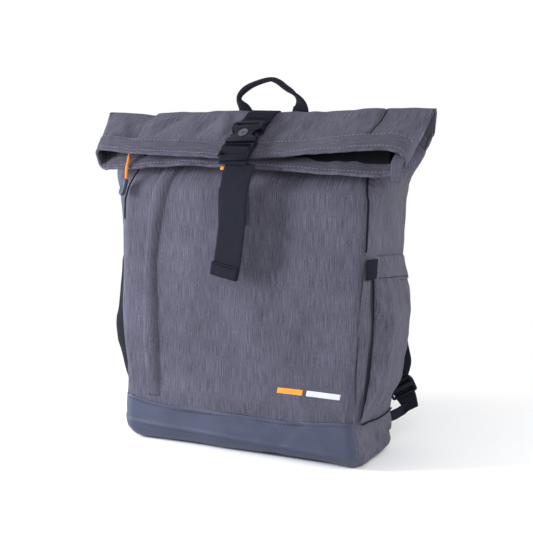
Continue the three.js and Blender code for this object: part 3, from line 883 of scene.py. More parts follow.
COLUMNS, ROWS = 420, 44
flap = flap_tube((np.arange(COLUMNS) / COLUMNS)[None], np.linspace(0, 1, ROWS)[:, None])
cloth(
    "roll_top_tube", flap, HEATHER, "roll_top", LAYER,
    ["roll_top_front_panel", "roll_top_side_left", "roll_top_side_right"],
    closed=True, flip=True, uv=tube_uv(flap, np.linspace(0, 90, ROWS)[:, None]),
)


# ---- the fold, where the cloth turns over from the body into the flap ----
def neck_point(psi):
    """Where a line of the flap's tube starts on the body's neck."""
    on_back, xi = round_tube(psi)
    side = 1 if xi > 0 else -1
    seam = abs(float(back_face(float(side), NECK_Z)[0]))
    x = abs(xi) * float(side_face(0.5, NECK_Z, side)[0]) * side
    if x < seam:
        q = (back_face if on_back else front_face)(side * x / seam, NECK_Z)
        q[0] = side * x
        return q
    line = side_face(np.linspace(0.5, 1 if on_back else 0, 200), NECK_Z, side)
    return np.array([side * x] + [np.interp(-x, -np.abs(line[:, 0]), line[:, k]) for k in (1, 2)])


def fold_strip(name, psi, handle_up, handle_flap, replaces):
    """Cloth that leaves the neck upwards and turns over into the flap."""
    neck = np.array([neck_point(value) for value in psi])[None]
    edge = flap_tube(psi[None], np.zeros((1, 1)))
    along = unit(flap_tube(psi[None], np.full((1, 1), 0.03)) - edge)
    lean = unit(np.where(psi[None, :, None] <= 0.5, [0, -0.18, 1.0], [0, 0.3, 1.0]))
    t = np.linspace(0, 1, 26)
    s = t[:, None, None]
    grid = (1 - s) ** 3 * neck + 3 * (1 - s) ** 2 * s * (neck + lean * handle_up)
    grid = grid + 3 * (1 - s) * s * s * (edge - along * handle_flap) + s**3 * edge
    uv = np.stack(np.broadcast_arrays(grid[-1:, :, 0], (t * 40 - 40)[:, None]), -1)
    return cloth(name, grid, HEATHER, None, LAYER, replaces, flip=True, uv=uv), grid


def bend(obj, low, high):
    """Bake a piece's placement into its mesh; the places low and high are not used."""
    row_frame(low)
    row_frame(high)
    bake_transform(obj)


axis = np.array([0, FOLD_Y, FOLD_Z])
turn = np.array([0, -0.646, 0.763])
FOLD_ENDS = axis - 8 * turn, axis + 1 * turn
outer_psi = np.linspace(0.0, 0.5, COLUMNS // 2 + 1)
inner_psi = np.linspace(0.5, 0.9999, COLUMNS // 2 + 1)
fold_outer, fold_outer_grid = fold_strip("roll_top_fold", outer_psi, 17.0, 13.0, ["roll_top_back_panel"])
fold_inner, _ = fold_strip("roll_top_fold_inside", inner_psi, 8.0, 5.0, [])
bend(fold_outer, *FOLD_ENDS)
bend(fold_inner, [0, 18, 363], [0, 18, 374.5])


# ---- hem band round the mouth ----
def on_tube(psi, g, lift=0.0):
    """A place on the flap's face with its outward normal."""
    psi, g = np.broadcast_arrays(np.asarray(psi, float), g)
    across = flap_tube(psi + 1e-3, g) - flap_tube(psi - 1e-3, g)
    along = flap_tube(psi, g + 1e-2) - flap_tube(psi, g - 1e-2)
    normal = -unit(np.cross(across, along))
    return flap_tube(psi, g) + normal * np.asarray(lift, float)[..., None], normal


def lip_share(psi, back_by):
    """The share of the tube's length that lies a number of millimetres back from the lip."""
    return 1 - back_by / (lip_at(*round_tube(psi)) - TUBE_START)


back_by = np.array([26.5, 26.0, 24.5, 22, 18, 14, 10, 6, 3, 1.2, 0.2, -0.6])[:, None]
lift = np.array([0.1, 0.9, 1.1, 1.0, 1.1, 1.2, 1.1, 0.9, 1.1, 1.1, 0.9, 0.3])[:, None]
hem_psi = (np.arange(560) / 560)[None]
lift = lift + 0.25 * ripple(hem_psi * 900, back_by * 2, 26, 81)
hem, _ = on_tube(hem_psi, lip_share(hem_psi, back_by), lift)
cloth(
    "hem_band", hem, HEATHER_CROSS, "roll_top", 3.6, ["hem_band_back", "hem_band_front"],
    closed=True, flip=True, uv=tube_uv(hem, -back_by),
)
# Its rows of stitches: the stretch round the tube, how far back from the lip, the height and the side.
for word, low, high, back, lift, facing in (
    ("outer_top", 0.006, 0.494, 24.4, 1.25, 1), ("outer_lip", 0.004, 0.496, 4.2, 1.1, 1),
    ("under_lip", 0.51, 0.99, 4.2, 1.1, 1), ("under_top", 0.51, 0.99, 24.4, 1.2, 1),
    ("inside_lip", 0.51, 0.99, 4.2, -2.75, -1), ("inside_top", 0.51, 0.99, 24.4, -2.75, -1),
):
    psi = np.linspace(low, high, 400)
    line, normal = on_tube(psi, lip_share(psi, back), lift)
    stitches(f"hem_stitches_{word}", line, facing * normal, THREAD, "roll_top", 2.9, 1.6, 0.4)


def psi_at(x, g):
    """Where on the outer layer a line across the fold stands at one place along it."""
    search = np.linspace(0, 0.5, 400)
    return np.interp(x, flap_tube(search, np.full(400, g))[..., 0], search)


# Dark cords sunk in the flap's side seams: painted shade of the deep pleats there.
for word, x, radius in (("left", -SEAM_X - 0.6, 0.85), ("right", SEAM_X + 0.6, 0.6)):
    g = np.linspace(0.0, 0.66, 40)
    line, _ = on_tube(np.array([psi_at(x, value) for value in g]), g, 0.1)
    shade_cord(f"flap_seam_shade_cord_{word}", line, radius, "roll_top")

# ---- the mouth's zip ----
COIL_U, TAPE_U = 67.5, 82  # how far down the flap the coil and the tapes' sewn edges lie
COIL_TURNS, TURN_STEPS = 150, 6


def layer_at(x, u, outer, depth=0.0):
    """The height of a layer's inner side at a place of the flap."""
    xi = x / flap_half_width(u, x > 0)
    _, top_v, low_v, _ = flap_layers(xi, u)
    shrink = np.maximum(1 - np.abs(xi) ** 14, 0.3)
    middle = (top_v + low_v) / 2
    return middle + ((top_v if outer else low_v) - middle) * shrink + (-depth if outer else depth)


def coil_height(x):
    return (layer_at(x, COIL_U, True) + layer_at(x, COIL_U, False)) / 2


zip_x = np.linspace(-130, 172, 120)[:, None]
for word, outer, gap in (("back", True, 0.9), ("front", False, -0.9)):
    share = np.linspace(0, 1, 12)[None]
    sewn = (1 - share) ** 0.6
    u = TAPE_U - (TAPE_U - COIL_U - 0.6) * share
    v = layer_at(zip_x, u, outer, 2.2) * sewn + (coil_height(zip_x) + gap) * (1 - sewn)
    tape = on_flap(zip_x, u, v)
    node = f"mouth_zip_tape_{word}"
    cloth(f"{node}_cloth", tape, ZIP, "roll_top", 0.5, [node], flip=not outer)

coil_line = on_flap(zip_x[:, 0], COIL_U, coil_height(zip_x[:, 0]))
s = np.linspace(0, 1, COIL_TURNS * TURN_STEPS)
middle = np.stack([np.interp(s, np.linspace(0, 1, 120), coil_line[:, k]) for k in range(3)], 1)
angle = (s * math.tau * COIL_TURNS)[:, None]
wound = -np.sin(angle) * 0.9 * UP_FLAP + np.cos(angle) * 0.5 * OUT_OF_FLAP
coil_wire("mouth_zip_coil_wire", middle + wound - 0.3 * UP_FLAP, "roll_top", ["mouth_zip_coil"])

# The cloth tab on the zip's tail folds out over the lower lip.
tab = flap_path(188.5, [(68, 9.0), (78, 9.5), (88, 10), (96, 9.0), (101, 5.5)])
tab += [tab[-1] + [0, -1.5, -7], tab[-1] + [0, -1.0, -15]]
tab_width = [12, 12, 12, 12, 12, 11.5, 10]
ribbon("zip_end_tab_cloth", tab, tab_width, "roll_top", 2.2, HEATHER, replaces=["zip_end_tab"], flip=True)


# ---- moulded pieces ----
def rounded(points, radius, steps=5):
    """A polygon with its corners rounded. radius is one number, or one for each corner."""
    points = [np.array(p, float) for p in points]
    out = []
    for i, p in enumerate(points):
        r = radius[i] if np.ndim(radius) else radius
        a, b = points[i - 1] - p, points[(i + 1) % len(points)] - p
        la, lb = np.linalg.norm(a), np.linalg.norm(b)
        r = min(r, la * 0.48, lb * 0.48)
        if r <= 0:
            out.append(p)
            continue
        start, end = p + a / la * r, p + b / lb * r
        for t in np.linspace(0, 1, steps):
            out.append((1 - t) ** 2 * start + 2 * t * (1 - t) * p + t * t * end)
    return out


def circle(x, y, r, n=28):
    return [(x + r * math.cos(k / n * math.tau), y + r * math.sin(k / n * math.tau)) for k in range(n)]


def box_outline(x0, x1, y0, y1, r):
    return rounded([(x0, y0), (x1, y0), (x1, y1), (x0, y1)], r)


def mirrored(half, radii):
    """A rounded outline from the points of its right half and their radii."""
    whole = half + [(-x, y) for x, y in half[::-1]]
    return rounded(whole, radii + radii[::-1])


def layer_mesh(outline, low, high, holes, bevel):
    """One flat layer with holes and bevelled edges, as a mesh made from a filled curve."""
    curve = bpy.data.curves.new("layer", "CURVE")
    curve.dimensions = "2D"
    curve.fill_mode = "BOTH"
    curve.extrude = (high - low) / 2 - bevel
    curve.bevel_depth = bevel
    curve.bevel_resolution = 2
    curve.offset = -bevel
    for loop in [outline, *holes]:
        spline = curve.splines.new("POLY")
        spline.points.add(len(loop) - 1)
        for point, (x, y) in zip(spline.points, loop):
            point.co = (x, y, 0, 1)
        spline.use_cyclic_u = True
    holder = bpy.data.objects.new("layer", curve)
    mesh = bpy.data.meshes.new_from_object(holder)
    bm = bmesh.new()
    bm.from_mesh(mesh)
    bmesh.ops.remove_doubles(bm, verts=bm.verts, dist=1e-4)
    bmesh.ops.recalc_face_normals(bm, faces=bm.faces)
    bm.verts.index_update()
    bpy.data.objects.remove(holder)
    bpy.data.curves.remove(curve)
    bpy.data.meshes.remove(mesh)
    return bm


def moulding(name, layers, look, body, place, replaces=()):
    """Flat layers in one piece, each (outline, low, high, holes, bevel). place turns X, Y, Z to bag axes."""
    vertices, faces = [], []
    for layer in layers:
        bm = layer_mesh(*layer)
        start, middle = len(vertices), (layer[1] + layer[2]) / 2
        vertices += [(v.co.x, v.co.y, v.co.z + middle) for v in bm.verts]
        faces += [tuple(start + v.index for v in f.verts) for f in bm.faces]
        bm.free()
    obj = piece(name, place(*np.array(vertices).T), faces, look, body, replaces)
    obj.data.set_sharp_from_angle(angle=math.radians(32))
    return obj


# ---- the buckle ----
BUCKLE_SCALE, BUCKLE_DROP, BUCKLE_END = 0.775, 4.5, 64
BUCKLE_COS, BUCKLE_SIN = math.cos(math.radians(5)), math.sin(math.radians(5))


def buckle_place(x, y, z):
    """The closure's own axes on the flap: it sits a little lower and turned, as the strap pulls it."""
    x, y = BUCKLE_SCALE * x, y - BUCKLE_DROP + BUCKLE_END
    return on_flap(-0.5 + x * BUCKLE_COS - y * BUCKLE_SIN, BUCKLE_END - y * BUCKLE_COS - x * BUCKLE_SIN, z)


def pair(x0, x1, y0, y1, low, high, r, bevel):
    """The same small wall on the right and on the left."""
    walls = box_outline(x0, x1, y0, y1, r), box_outline(-x1, -x0, y0, y1, r)
    return [(wall_outline, low, high, [], bevel) for wall_outline in walls]


# Female half: two faces with side windows, the shoulders and mouth walls between them, and its webbing bar.
female_half = [(0, -37), (19, -37), (23, -38.5), (24, -42), (24, -48), (21.5, -51.5), (15.5, -55)]
female_half += [(13.6, -59), (14.6, -63.5), (19.5, -66.5), (22.4, -69), (22.8, -75), (0, -75)]
female_outline = mirrored(female_half, [0, 2, 2, 2, 3, 3, 4, 3, 3, 2, 2, 1.5, 0])
strap_window = box_outline(-18.6, 18.6, -44.6, -41, 1)
faces = ((15.7, 17.9), (8.9, 11.0))
female_layers = [(female_outline, low, high, [strap_window], 0.7) for low, high in faces]
female_layers += pair(17, 24, -50.5, -37.4, 9.2, 17.6, 2.2, 0.9)
female_layers += pair(20.6, 22.8, -74.8, -68, 9.6, 17.2, 0.9, 0.3)
female_layers += [
    (box_outline(-17.6, 17.6, -40.6, -37.2, 1.2), 10.5, 16.4, [], 1.2),
    (box_outline(-17.4, 17.4, -50.0, -46.5, 0.8), 10.4, 16.3, [], 0.4),
    (box_outline(-21.5, 21.5, -74.9, -73.4, 0.6), 17.2, 18.2, [], 0.3),
]
moulding("buckle_female_shell", female_layers, PLASTIC, "roll_top", buckle_place, ["buckle_female"])

# The disc on its face: a raised rim round a plain centre.
disc, rim, rim_hole = (circle(-0.5, -59.5, r) for r in (6.9, 5.4, 4.8))
disc_layers = [(disc, 18.0, 18.55, [], 0.2), (rim, 18.4, 18.75, [rim_hole], 0.08)]
moulding("buckle_emblem", disc_layers, EMBLEM, "roll_top", buckle_place, ["buckle_disc"])
mark = [(-3.2, -59.9), (-0.9, -59.2), (-1.5, -57.0), (0.1, -58.9)]
mark += [(2.6, -58.4), (0.2, -60.0), (-0.8, -62.4), (-1.2, -60.4)]
mark_layers = [(rounded(mark, 0.15, 3), 18.5, 18.8, [], 0.05)]
moulding("buckle_emblem_mark", mark_layers, PLASTIC, "roll_top", buckle_place)

# Male half: the ladder-lock frame with its glossy lower bar, the fork's root and the guide rib.
male_outline = rounded(
    [(-23.4, -75.6), (23.4, -75.6), (24, -82), (23.2, -103.3), (-23.2, -103.3), (-24, -82)],
    [1.5, 1.5, 2, 4.5, 4.5, 2],
)
slots = [box_outline(-19.8, 19.8, -82.4, -78.2, 1.2), box_outline(-19.8, 19.8, -98.0, -92.2, 1.6)]
male_layers = [(male_outline, 11.0, 16.2, slots, 1.1)]
male_layers += [(box_outline(-20.5, 20.5, -103.2, -98.6, 2.2), 11.6, 17.3, [], 1.9)]
male_layers += pair(21.0, 23.2, -100, -79, 12, 17.0, 1, 0.7)
male_layers += [(box_outline(-1.4, 1.4, -76.5, -55, 1.2), 12.2, 14.7, [], 0.5)]
moulding("buckle_male_frame", male_layers, PLASTIC, "buckle_male", buckle_place, ["buckle_male"])
arm = [(10.2, -76.2), (14.8, -76.2), (18.2, -69.5), (21.8, -66.2), (22.4, -60.5), (19.4, -55.4)]
arm += [(15.4, -53.6), (12.4, -55.2), (15.8, -60.0), (15.6, -66.5), (12.4, -71.5)]
for word, sign in (("left", -1), ("right", 1)):
    outline = rounded([(sign * x, y) for x, y in arm][::sign], 1.3)
    prong, node = f"prong_{word}", f"buckle_prong_{word}"
    moulding(f"{node}_arm", [(outline, 11.5, 15.4, [], 0.8)], PLASTIC, prong, buckle_place, [node])

# ---- closure webbing ----
# The strap runs up the back, over the fold and down to the female half's bar.
over = fold_outer_grid[:, len(outer_psi) // 2 - 1 : len(outer_psi) // 2 + 2].mean(1)
over_normal = unit(np.cross(np.gradient(over, axis=0), [1, 0, 0]))
over_normal = over_normal if over_normal[-1] @ UP_FLAP > 0 else -over_normal
up_back = np.array([[0, float(back_y(z)) + 2.4, z] for z in (343.0, 350.0, 357.0)])
to_bar = [(13, 8.4), (22, 8.8), (31, 10.6), (38, 13.4), (42, 16.2), (45.8, 16.9), (47.4, 14.0)]
strap_line = np.concatenate([up_back, (over + over_normal * 2.2)[2:-2:3], flap_path(0, to_bar)])
strap_line[:, 0] = np.linspace(-2.5, -2.2, len(strap_line))
strap_width = [34.5] * 6 + [34.4] * (len(strap_line) - 10) + [34, 32.5, 31, 30.6]
strap_nodes = ["closure_strap", "closure_strap_anchor"]
strap = ribbon("closure_strap_web", strap_line, strap_width, None, 1.7, replaces=strap_nodes, flip=True)
bend(strap, *FOLD_ENDS)
# The webbing's end comes back under itself from the bar and is sewn down.
under = flap_path(-2.2, [(47, 11.8), (44, 9.6), (38, 8.0), (30, 7.7), (21.5, 7.4)])
ribbon("closure_strap_return", under, 32, "roll_top", 1.2)
for u, v in ((23.5, 9.1), (27.0, 9.8)):
    line = on_flap(np.linspace(-17.5, 13.5, 30), u, v)
    stitches(f"closure_strap_stitches_{int(u)}", line, OUT_OF_FLAP, THREAD_DARK, "roll_top", 2.2, 1.0)

# Round the ladder-lock's bar, from the fixed side to the free tail.
turn_path = [(106, 8.6), (100, 9.2), (92.0, 9.6), (84.0, 9.9), (81.6, 12.8), (82.6, 16.4), (86.0, 18.7)]
turn_path += [(90.5, 18.3), (94.2, 15.0), (98.5, 11.9), (105.5, 10.9)]
turn_line = [buckle_place(0.0, -u, v) for u, v in turn_path]
ribbon("webbing_turn_web", turn_line, 33.6, "buckle_male", 1.5, replaces=["webbing_turn"], flip=True)

# The free tail by height: its left and right edges, its depth, and how far it is turned from the front.
TAIL = [
    (334.0, -5.8, 28.2, -75.2, 4), (328.5, -5.6, 29.4, -77.0, 6), (320, -8.0, 27.4, -79.8, 10),
    (299, -11.4, 23.4, -81.4, 13), (277, -12.6, 21.7, -81.0, 13), (260, -13.4, 19.6, -80.6, 12),
    (240, -16.4, 16.3, -80.0, 12), (221, -19.6, 12.8, -79.4, 11), (207.5, -23.0, 9.4, -79.0, 11),
]
centre = [((left + right) / 2, y, z) for z, left, right, y, _ in TAIL]
turned = np.radians([row[4] for row in TAIL])
across = np.stack([np.cos(turned), -np.sin(turned), np.full(len(TAIL), -0.13)], 1)
tail = ribbon("closure_tail_web", centre, 36.5, None, across=across, replaces=["closure_tail"])
tail_root = row_frame([9, -75.6, 332.5])
row_frame([6, -80.4, 312])
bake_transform(tail)
# The free end is folded back and sewn, so that it can't slip through the buckle.
hem_line = [(-5.4, -79.4, 221), (-6.6, -79.4, 214), (-7.8, -79.2, 207)]
ribbon("closure_tail_hem", hem_line, 36.2, "closure_tail", 2.6, across=across[-1])
hem_side = unit(across[-1])
line = np.array([-5.9, -82.8, 219.0]) + hem_side * np.linspace(-17.5, 17.5, 30)[:, None]
hem_out = np.cross(hem_side, [0, 0, -1.0])
stitches("closure_tail_stitches", line, hem_out, THREAD_DARK, "closure_tail", 2.2, 1.0, 0.45)

fixed = [(-6, float(front_y(z)) - 3.4, z) for z in (303.5, 295, 285, 275, 264)]
ribbon("closure_fixed_web", fixed, 33, "root", replaces=["closure_fixed_webbing"])
tab = flap_path(-0.2, [(88, -9.6), (95, -9.4), (99, -8.6), (102.0, -7.4), (102.2, -5.4), (99, -4.4)])
tab = np.array(tab) + [0, 0, 1.2]
ribbon("lip_tab_fold", tab, 38.5, "roll_top", 1.0, ORANGE, replaces=["lip_tab"], step=1.5)

# ---- the mouth zip's slider and its cord puller ----
PULL_X = -137.0
CORD_THICK = 3.0
slider_v = float(coil_height(np.array(-130.0)))


def flap_place(x, y, z):
    return on_flap(x, -y, z)


plate = [(-142.5, -66.5), (-136, -65.6), (-131.5, -66.8), (-131.5, -72.2), (-136, -73.4), (-142.5, -72.5)]
plate = rounded(plate, 1.2)
slider_layers = [
    (plate, slider_v - 2.3, slider_v - 1.1, [], 0.4),
    (plate, slider_v + 1.1, slider_v + 2.3, [], 0.4),
    (box_outline(-141.8, -138.5, -70.8, -68.2, 0.6), slider_v - 1.6, slider_v + 1.6, [], 0.2),
    (circle(-137, -72.4, 2.2, 16), slider_v + 2.0, slider_v + 3.2, [circle(-137, -72.4, 1.2, 12)], 0.4),
]
slider = "mouth_zip_slider"
moulding(f"{slider}_body", slider_layers, METAL, slider, flap_place, [slider])

# The cord leaves the slider's eye, runs out over the lower lip and hangs to the rubber tip.
inside = [(-139, 73.6, slider_v + 2.4), (-143.5, 80, 1.2), (-144, 88, -2.0), (-142.5, 95, -4.2)]
inside += [(-141, 101.5, -5.2), (-140.2, 104.8, -7.0)]
cord_path = [on_flap(*point) for point in inside]
hanging = ((-0.2, -0.9, -3.5), (-0.6, -0.6, -8.0), (-1.0, -0.2, -13.0))
cord_path += [cord_path[-1] + np.array(d) for d in hanging]
cord_line, cord_at = resample(cord_path, 1.2)
cord_nodes = ["puller_loop", "puller_cord"]
cord = tube("puller_cord_braid", cord_path, CORD_THICK / 2, ORANGE, None, cord_nodes, 14, 1.2)
swing_start, swing_end = on_flap(PULL_X, 103.5, -4), on_flap(PULL_X, 105.5, -7)
row_frame(swing_start)
row_frame(swing_end)
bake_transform(cord)
row_frame(cord_path[0])
[list(p) for p in row_frame(cord_line)]
turns = np.linspace(0, 5.6, 12)
wound = np.stack([np.cos(turns) * 1.4, np.sin(turns) * 0.9 - turns * 0.35, np.sin(turns) * 1.3], 1)
tube("puller_knot", cord_path[1] + wound, 1.35, ORANGE, "mouth_zip_slider", (), 12, 0.8)


def tip_place(x, y, z):
    """The rubber tip hangs from the cord's end, a little slanted and turned."""
    slant = unit(np.array([0.34, 0.04, 0.94]))
    side = unit(np.array([0.82, -0.5, -0.275]))
    face = np.cross(side, slant)
    return cord_path[-1] + [0, 0, 1.0] + side * x[:, None] + slant * y[:, None] - face * z[:, None]


tip_half = [(2.1, 0.5), (3.4, -4), (4.6, -9), (4.4, -16.5), (2.4, -20)]
tip_outline = mirrored(tip_half, [1.4] * 5)
tip_ribs = [box_outline(-3.1, 3.1, -15.8 + 2.2 * k, -14.8 + 2.2 * k, 0.4) for k in range(4)]
tip_layers = [(tip_outline, -2.2, 2.2, [], 0.9)] + [(rib, -2.6, 2.6, [], 0.3) for rib in tip_ribs]
moulding("puller_tip_rubber", tip_layers, RUBBER, "puller", tip_place, ["puller_tip"])


# ---- concealed front zip and its placket ----
def zip_line_x(z):
    """The zip bends with the middle of its placket."""
    return (placket_sewn(z) + placket_free(z)) / 2 - 0.6


zip_z = np.linspace(62, 280, 80)[:, None]
tape, _ = on_front(zip_line_x(zip_z) + np.linspace(-5.2, 5.2, 7)[None], zip_z, 0.5)
cloth("front_zip_tape_cloth", tape, ZIP, "root", 0.5, ["front_zip_tape"])
s = np.linspace(62, 266, 100 * TURN_STEPS)
angle = np.arange(len(s)) / TURN_STEPS * math.tau
wire, _ = on_front(zip_line_x(s) + 1.3 * np.sin(angle), s, 1.1 + 0.5 * np.cos(angle))
coil_wire("front_zip_coil_wire", wire, "root", ["front_zip_coil"])
slider_at, _ = on_front(-108.6, 268.0, 0.2)


def slider_place(x, y, z):
    return slider_at + np.stack([x, -z, y], -1)


slider_outline = rounded([(-3.0, 5.4), (3.0, 5.4), (2.9, -1), (2.2, -5.6), (-2.2, -5.6), (-2.9, -1)], 1.2)
slider_layers = [
    (slider_outline, 0.0, 0.6, [], 0.2),
    (slider_outline, 1.3, 1.9, [], 0.2),
    (box_outline(-1.1, 1.1, 1.8, 5.0, 0.4), 0.3, 1.6, [], 0.2),
    (box_outline(-1.4, 1.4, -5.0, 0.4, 0.7), 1.8, 2.3, [box_outline(-0.6, 0.6, -4.2, -2.0, 0.3)], 0.1),
]
slider = "front_zip_slider"
moulding(f"{slider}_body", slider_layers, METAL, slider, slider_place, [slider])

# The placket: from the sewn line over the zip to a soft free fold, then back under itself. Each row gives the
# share of the way from the free fold to the sewn line, and the height.
PLACKET = [(1.1, -0.6), (1.06, 0.7), (0.99, 1.7), (0.9, 2.9), (0.75, 4.2), (0.6, 5.0)]
PLACKET += [(0.45, 5.4), (0.3, 5.6), (0.18, 5.6), (0.09, 5.3), (0.03, 4.7), (0.0, 3.9)]
PLACKET += [(0.005, 3.2), (0.04, 2.9), (0.12, 2.8), (0.25, 2.8)]
share, height = np.array(PLACKET).T[:, None]
pz = np.linspace(58, 326, 120)[:, None]
px = placket_free(pz) + (placket_sewn(pz) - placket_free(pz)) * share
fade = (smooth(pz, 50, 82) * 0.75 + 0.25) * (1 - 0.65 * smooth(pz, 296, 326))
placket, _ = on_front(px, pz, height * fade + 0.35 * ripple(pz, px * 0.6, 60, 8) * fade)
puv = np.stack(np.broadcast_arrays(px, pz), -1)
cloth("zip_placket_cloth", placket, HEATHER, "root", 1.3, ["zip_placket"], flip=True, uv=puv)
seam_z = np.linspace(60, 322, 200)
line, normal = on_front(placket_sewn(seam_z) - 1.6, seam_z, 1.6)
stitches("placket_stitches", line, normal, THREAD_DARK, "root", 2.2, 2.4, 0.4)

# The seams between the front and the side panels get dark cords sunk between the two cloths: painted shade in
# the seams.
for side, word, low_end in ((-1, "left", 262), (1, "right", 242)):
    line = front_face(np.full(60, float(side)), np.linspace(low_end, 338, 60))
    shade_cord(f"front_seam_shade_cord_{word}", line + [0.3 * side, -0.6, 0], 1.0, "root")

# ---- printed mark: two plain bars ----
for word, x0, x1, look in (("orange", 49, 79, ORANGE_PRINT), ("pale", 84, 124, PALE_PRINT)):
    bar_z = np.linspace(78.2, 84.4, 8)[:, None]
    bar, _ = on_front(np.linspace(x0, x1, 24)[None] + (bar_z - 81) * 0.22, bar_z, 0.35)
    cloth(f"label_bar_{word}_print", bar, look, "root", 0.5, [f"label_bar_{word}"])


# ---- handle ----
# The handle from its left root over the top to its right root: place, turn from flat, width and thickness.
HANDLE = [
    ((-38, 36.5, 364), 0, 25, 1.7), ((-38.5, 36, 376), 6, 25, 2.0), ((-41, 35, 386), 26, 22, 3.4),
    ((-47.4, 34, 396.5), 62, 15, 6.2), ((-45, 34, 404.5), 84, 13, 6.4), ((-32, 34, 414), 90, 12.5, 5.6),
    ((-9, 34, 421.2), 90, 12.5, 5.2), ((2, 34, 419.5), 90, 12.5, 5.2), ((12, 34, 413), 90, 12.5, 5.2),
    ((26, 34, 403.3), 84, 14, 5.2), ((31.4, 34.5, 394), 50, 20, 3.4), ((31.5, 35, 386), 20, 24, 2.0),
    ((31, 36, 376), 6, 25, 1.7), ((31, 36.5, 364), 0, 25, 1.7),
]


def folded_webbing(name, rows, body, replaces, sides=28):
    """Webbing folded along its length: a rounded section that follows the path."""
    path, turned, width, thickness = zip(*rows)
    line, at = resample(path, 2.0)
    w, t = along_path(at, width) / 2, along_path(at, thickness) / 2
    turned = np.radians(turned)
    side = unit(along_path(at, np.stack([np.cos(turned), -np.sin(turned), 0 * turned], 1)))
    tangent = unit(np.gradient(line, axis=0))
    side = unit(side - tangent * np.sum(side * tangent, 1, keepdims=True))
    out = np.cross(tangent, side)
    ring = np.linspace(0, math.tau, sides, endpoint=False)
    c, s = np.cos(ring), np.sin(ring)
    cx, cy = np.sign(c) * np.abs(c) ** 0.45, np.sign(s) * np.abs(s) ** 0.6
    grid = line[:, None] + side[:, None] * (w[:, None] * cx)[..., None]
    grid = grid + out[:, None] * (t[:, None] * cy)[..., None]
    run = np.append(run_of(np.stack([cx * 12, cy * 2], 1)), 52)
    uv = []
    for i in range(len(at) - 1):
        for j in range(sides):
            uv += [(run[j], at[i]), (run[j + 1], at[i]), (run[j + 1], at[i + 1]), (run[j], at[i + 1])]
    uv += [(0, 0)] * (6 * sides)
    return loft(name, grid, [line[0], line[-1]], WEBBING, body, replaces, uv)


folded_webbing("grab_handle_web", HANDLE, "grab_handle", ["grab_handle"])
patch_x, patch_z = np.linspace(52, -52, 40)[None], np.linspace(320, 345, 12)[:, None]
patch_y = back_y(patch_z) + 3.4 - 2.6 * smooth(np.abs(patch_x), 49, 52)
patch = np.stack(np.broadcast_arrays(patch_x, patch_y, patch_z), -1)
cloth("handle_patch_cloth", patch, WEBBING, "root", 2.4, ["handle_patch"])
for z in (323, 342):
    line = np.array([(x, float(back_y(z)) + 3.7, z) for x in np.linspace(-49, 49, 60)])
    stitches(f"handle_patch_stitches_{z}", line, [0, 1.0, 0.3], THREAD_DARK, "root", 2.6, 1.4)

# ---- side pockets ----
# Their edges' depths, how far out their lining stands, and how far they bulge, each by height.
POCKET_FRONT = [(50, -54), (62, -52), (100, -46), (150, -43), (190, -44), (212, -45)]
POCKET_REAR = [(50, 28), (60, 36), (75, 44), (90, 48.5), (150, 52), (215, 52), (240, 51)]
POCKET_BASE = [(50, 144), (62, 146.5), (76, 148.5), (103, 151.5), (139, 153.5), (174, 154.5), (209, 154.8)]
POCKET_BASE += [(240, 153.5)]
RIGHT_FILL = [(50, 1.5), (60, 4), (90, 13.5), (130, 17), (166, 19), (190, 15), (212, 9), (240, 5)]
LEFT_FILL = [(50, 6), (60, 9), (84, 20), (110, 28), (140, 28), (165, 23), (200, 16), (240, 11)]
BAND_LOW, BAND_HIGH = 212.5, 236.5  # the right pocket's top band, at its front edge


def pocket_surface(t, z, side):
    """t runs from the pocket's front edge to its rear edge."""
    front_edge, rear_edge = interp(z, POCKET_FRONT), interp(z, POCKET_REAR)
    y = front_edge + (rear_edge - front_edge) * t
    fill = interp(z, RIGHT_FILL if side > 0 else LEFT_FILL)
    # Steep where it leaves its front edge, flat over the middle, and rounding in to the rear seam.
    lift = np.clip(t / 0.16, 0, 1) ** 0.75 * (1 - np.clip((t - 0.62) / 0.38, 0, 1) ** 2.3)
    x = interp(z, POCKET_BASE) + 2.0 * (1 - t) ** 3 + fill * lift
    return np.stack(np.broadcast_arrays(side * x, y, z), -1)


def pocket_bottom(t):
    return interp(t, [(0, 53), (0.5, 51.5), (1, 52)])


def pocket_drop(t):
    """How far the right pocket's top has come down towards its rear."""
    return 11 * t**1.3


def wrinkled(grid, seed, depth=1.0):
    y, z = grid[..., 1], grid[..., 2]
    height = 0.9 * ripple(y, z * 0.45, 34, seed) + 0.5 * ripple(y, z * 0.4, 15, seed + 1)
    return raised(grid, depth * height)


def pocket_body(side, top):
    """The pocket's wall from its bottom seam to its top. The right one starts at its front edge."""
    t = np.linspace(0, 1, 70)[None, ::side]
    z = pocket_bottom(t) + (top(t) - pocket_bottom(t)) * np.linspace(0, 1, 90)[:, None]
    return pocket_surface(t, z, side)


right = wrinkled(pocket_body(1, lambda t: BAND_LOW - pocket_drop(t)), 91)
cloth("right_pocket_cloth", right, HEATHER_SIDE, "root", 1.5, ["right_pocket"], uv=right[..., 1:])
t = np.linspace(0, 1, 70)[None]
z = np.linspace(210.6, BAND_HIGH, 16)[:, None]
top_band = pocket_surface(t, z - pocket_drop(t), 1)
band_relief = 1.1 + 0.7 * ripple(top_band[..., 1], top_band[..., 2], 40, 95) - 1.2 * bump(z, BAND_HIGH, 1.5)
top_band = raised(top_band, band_relief)
node = "right_pocket_band"
cloth(f"{node}_cloth", top_band, HEATHER_SIDE, "root", 2.8, [node], uv=top_band[..., 1:])
t = np.linspace(0.02, 0.98, 120)
line = pocket_surface(t, BAND_LOW + 0.4 - pocket_drop(t), 1) + [1.5, 0, 0]
stitches("right_pocket_stitches", line, [1.0, -0.1, 0], THREAD_DARK, "root", 2.8, 1.3)
t = np.linspace(0, 1, 60)
seam = pocket_surface(t, pocket_bottom(t), 1)
seam[:, 0] = np.maximum(seam[:, 0], wall_x(seam[:, 1], seam[:, 2], 1) + 1.0)
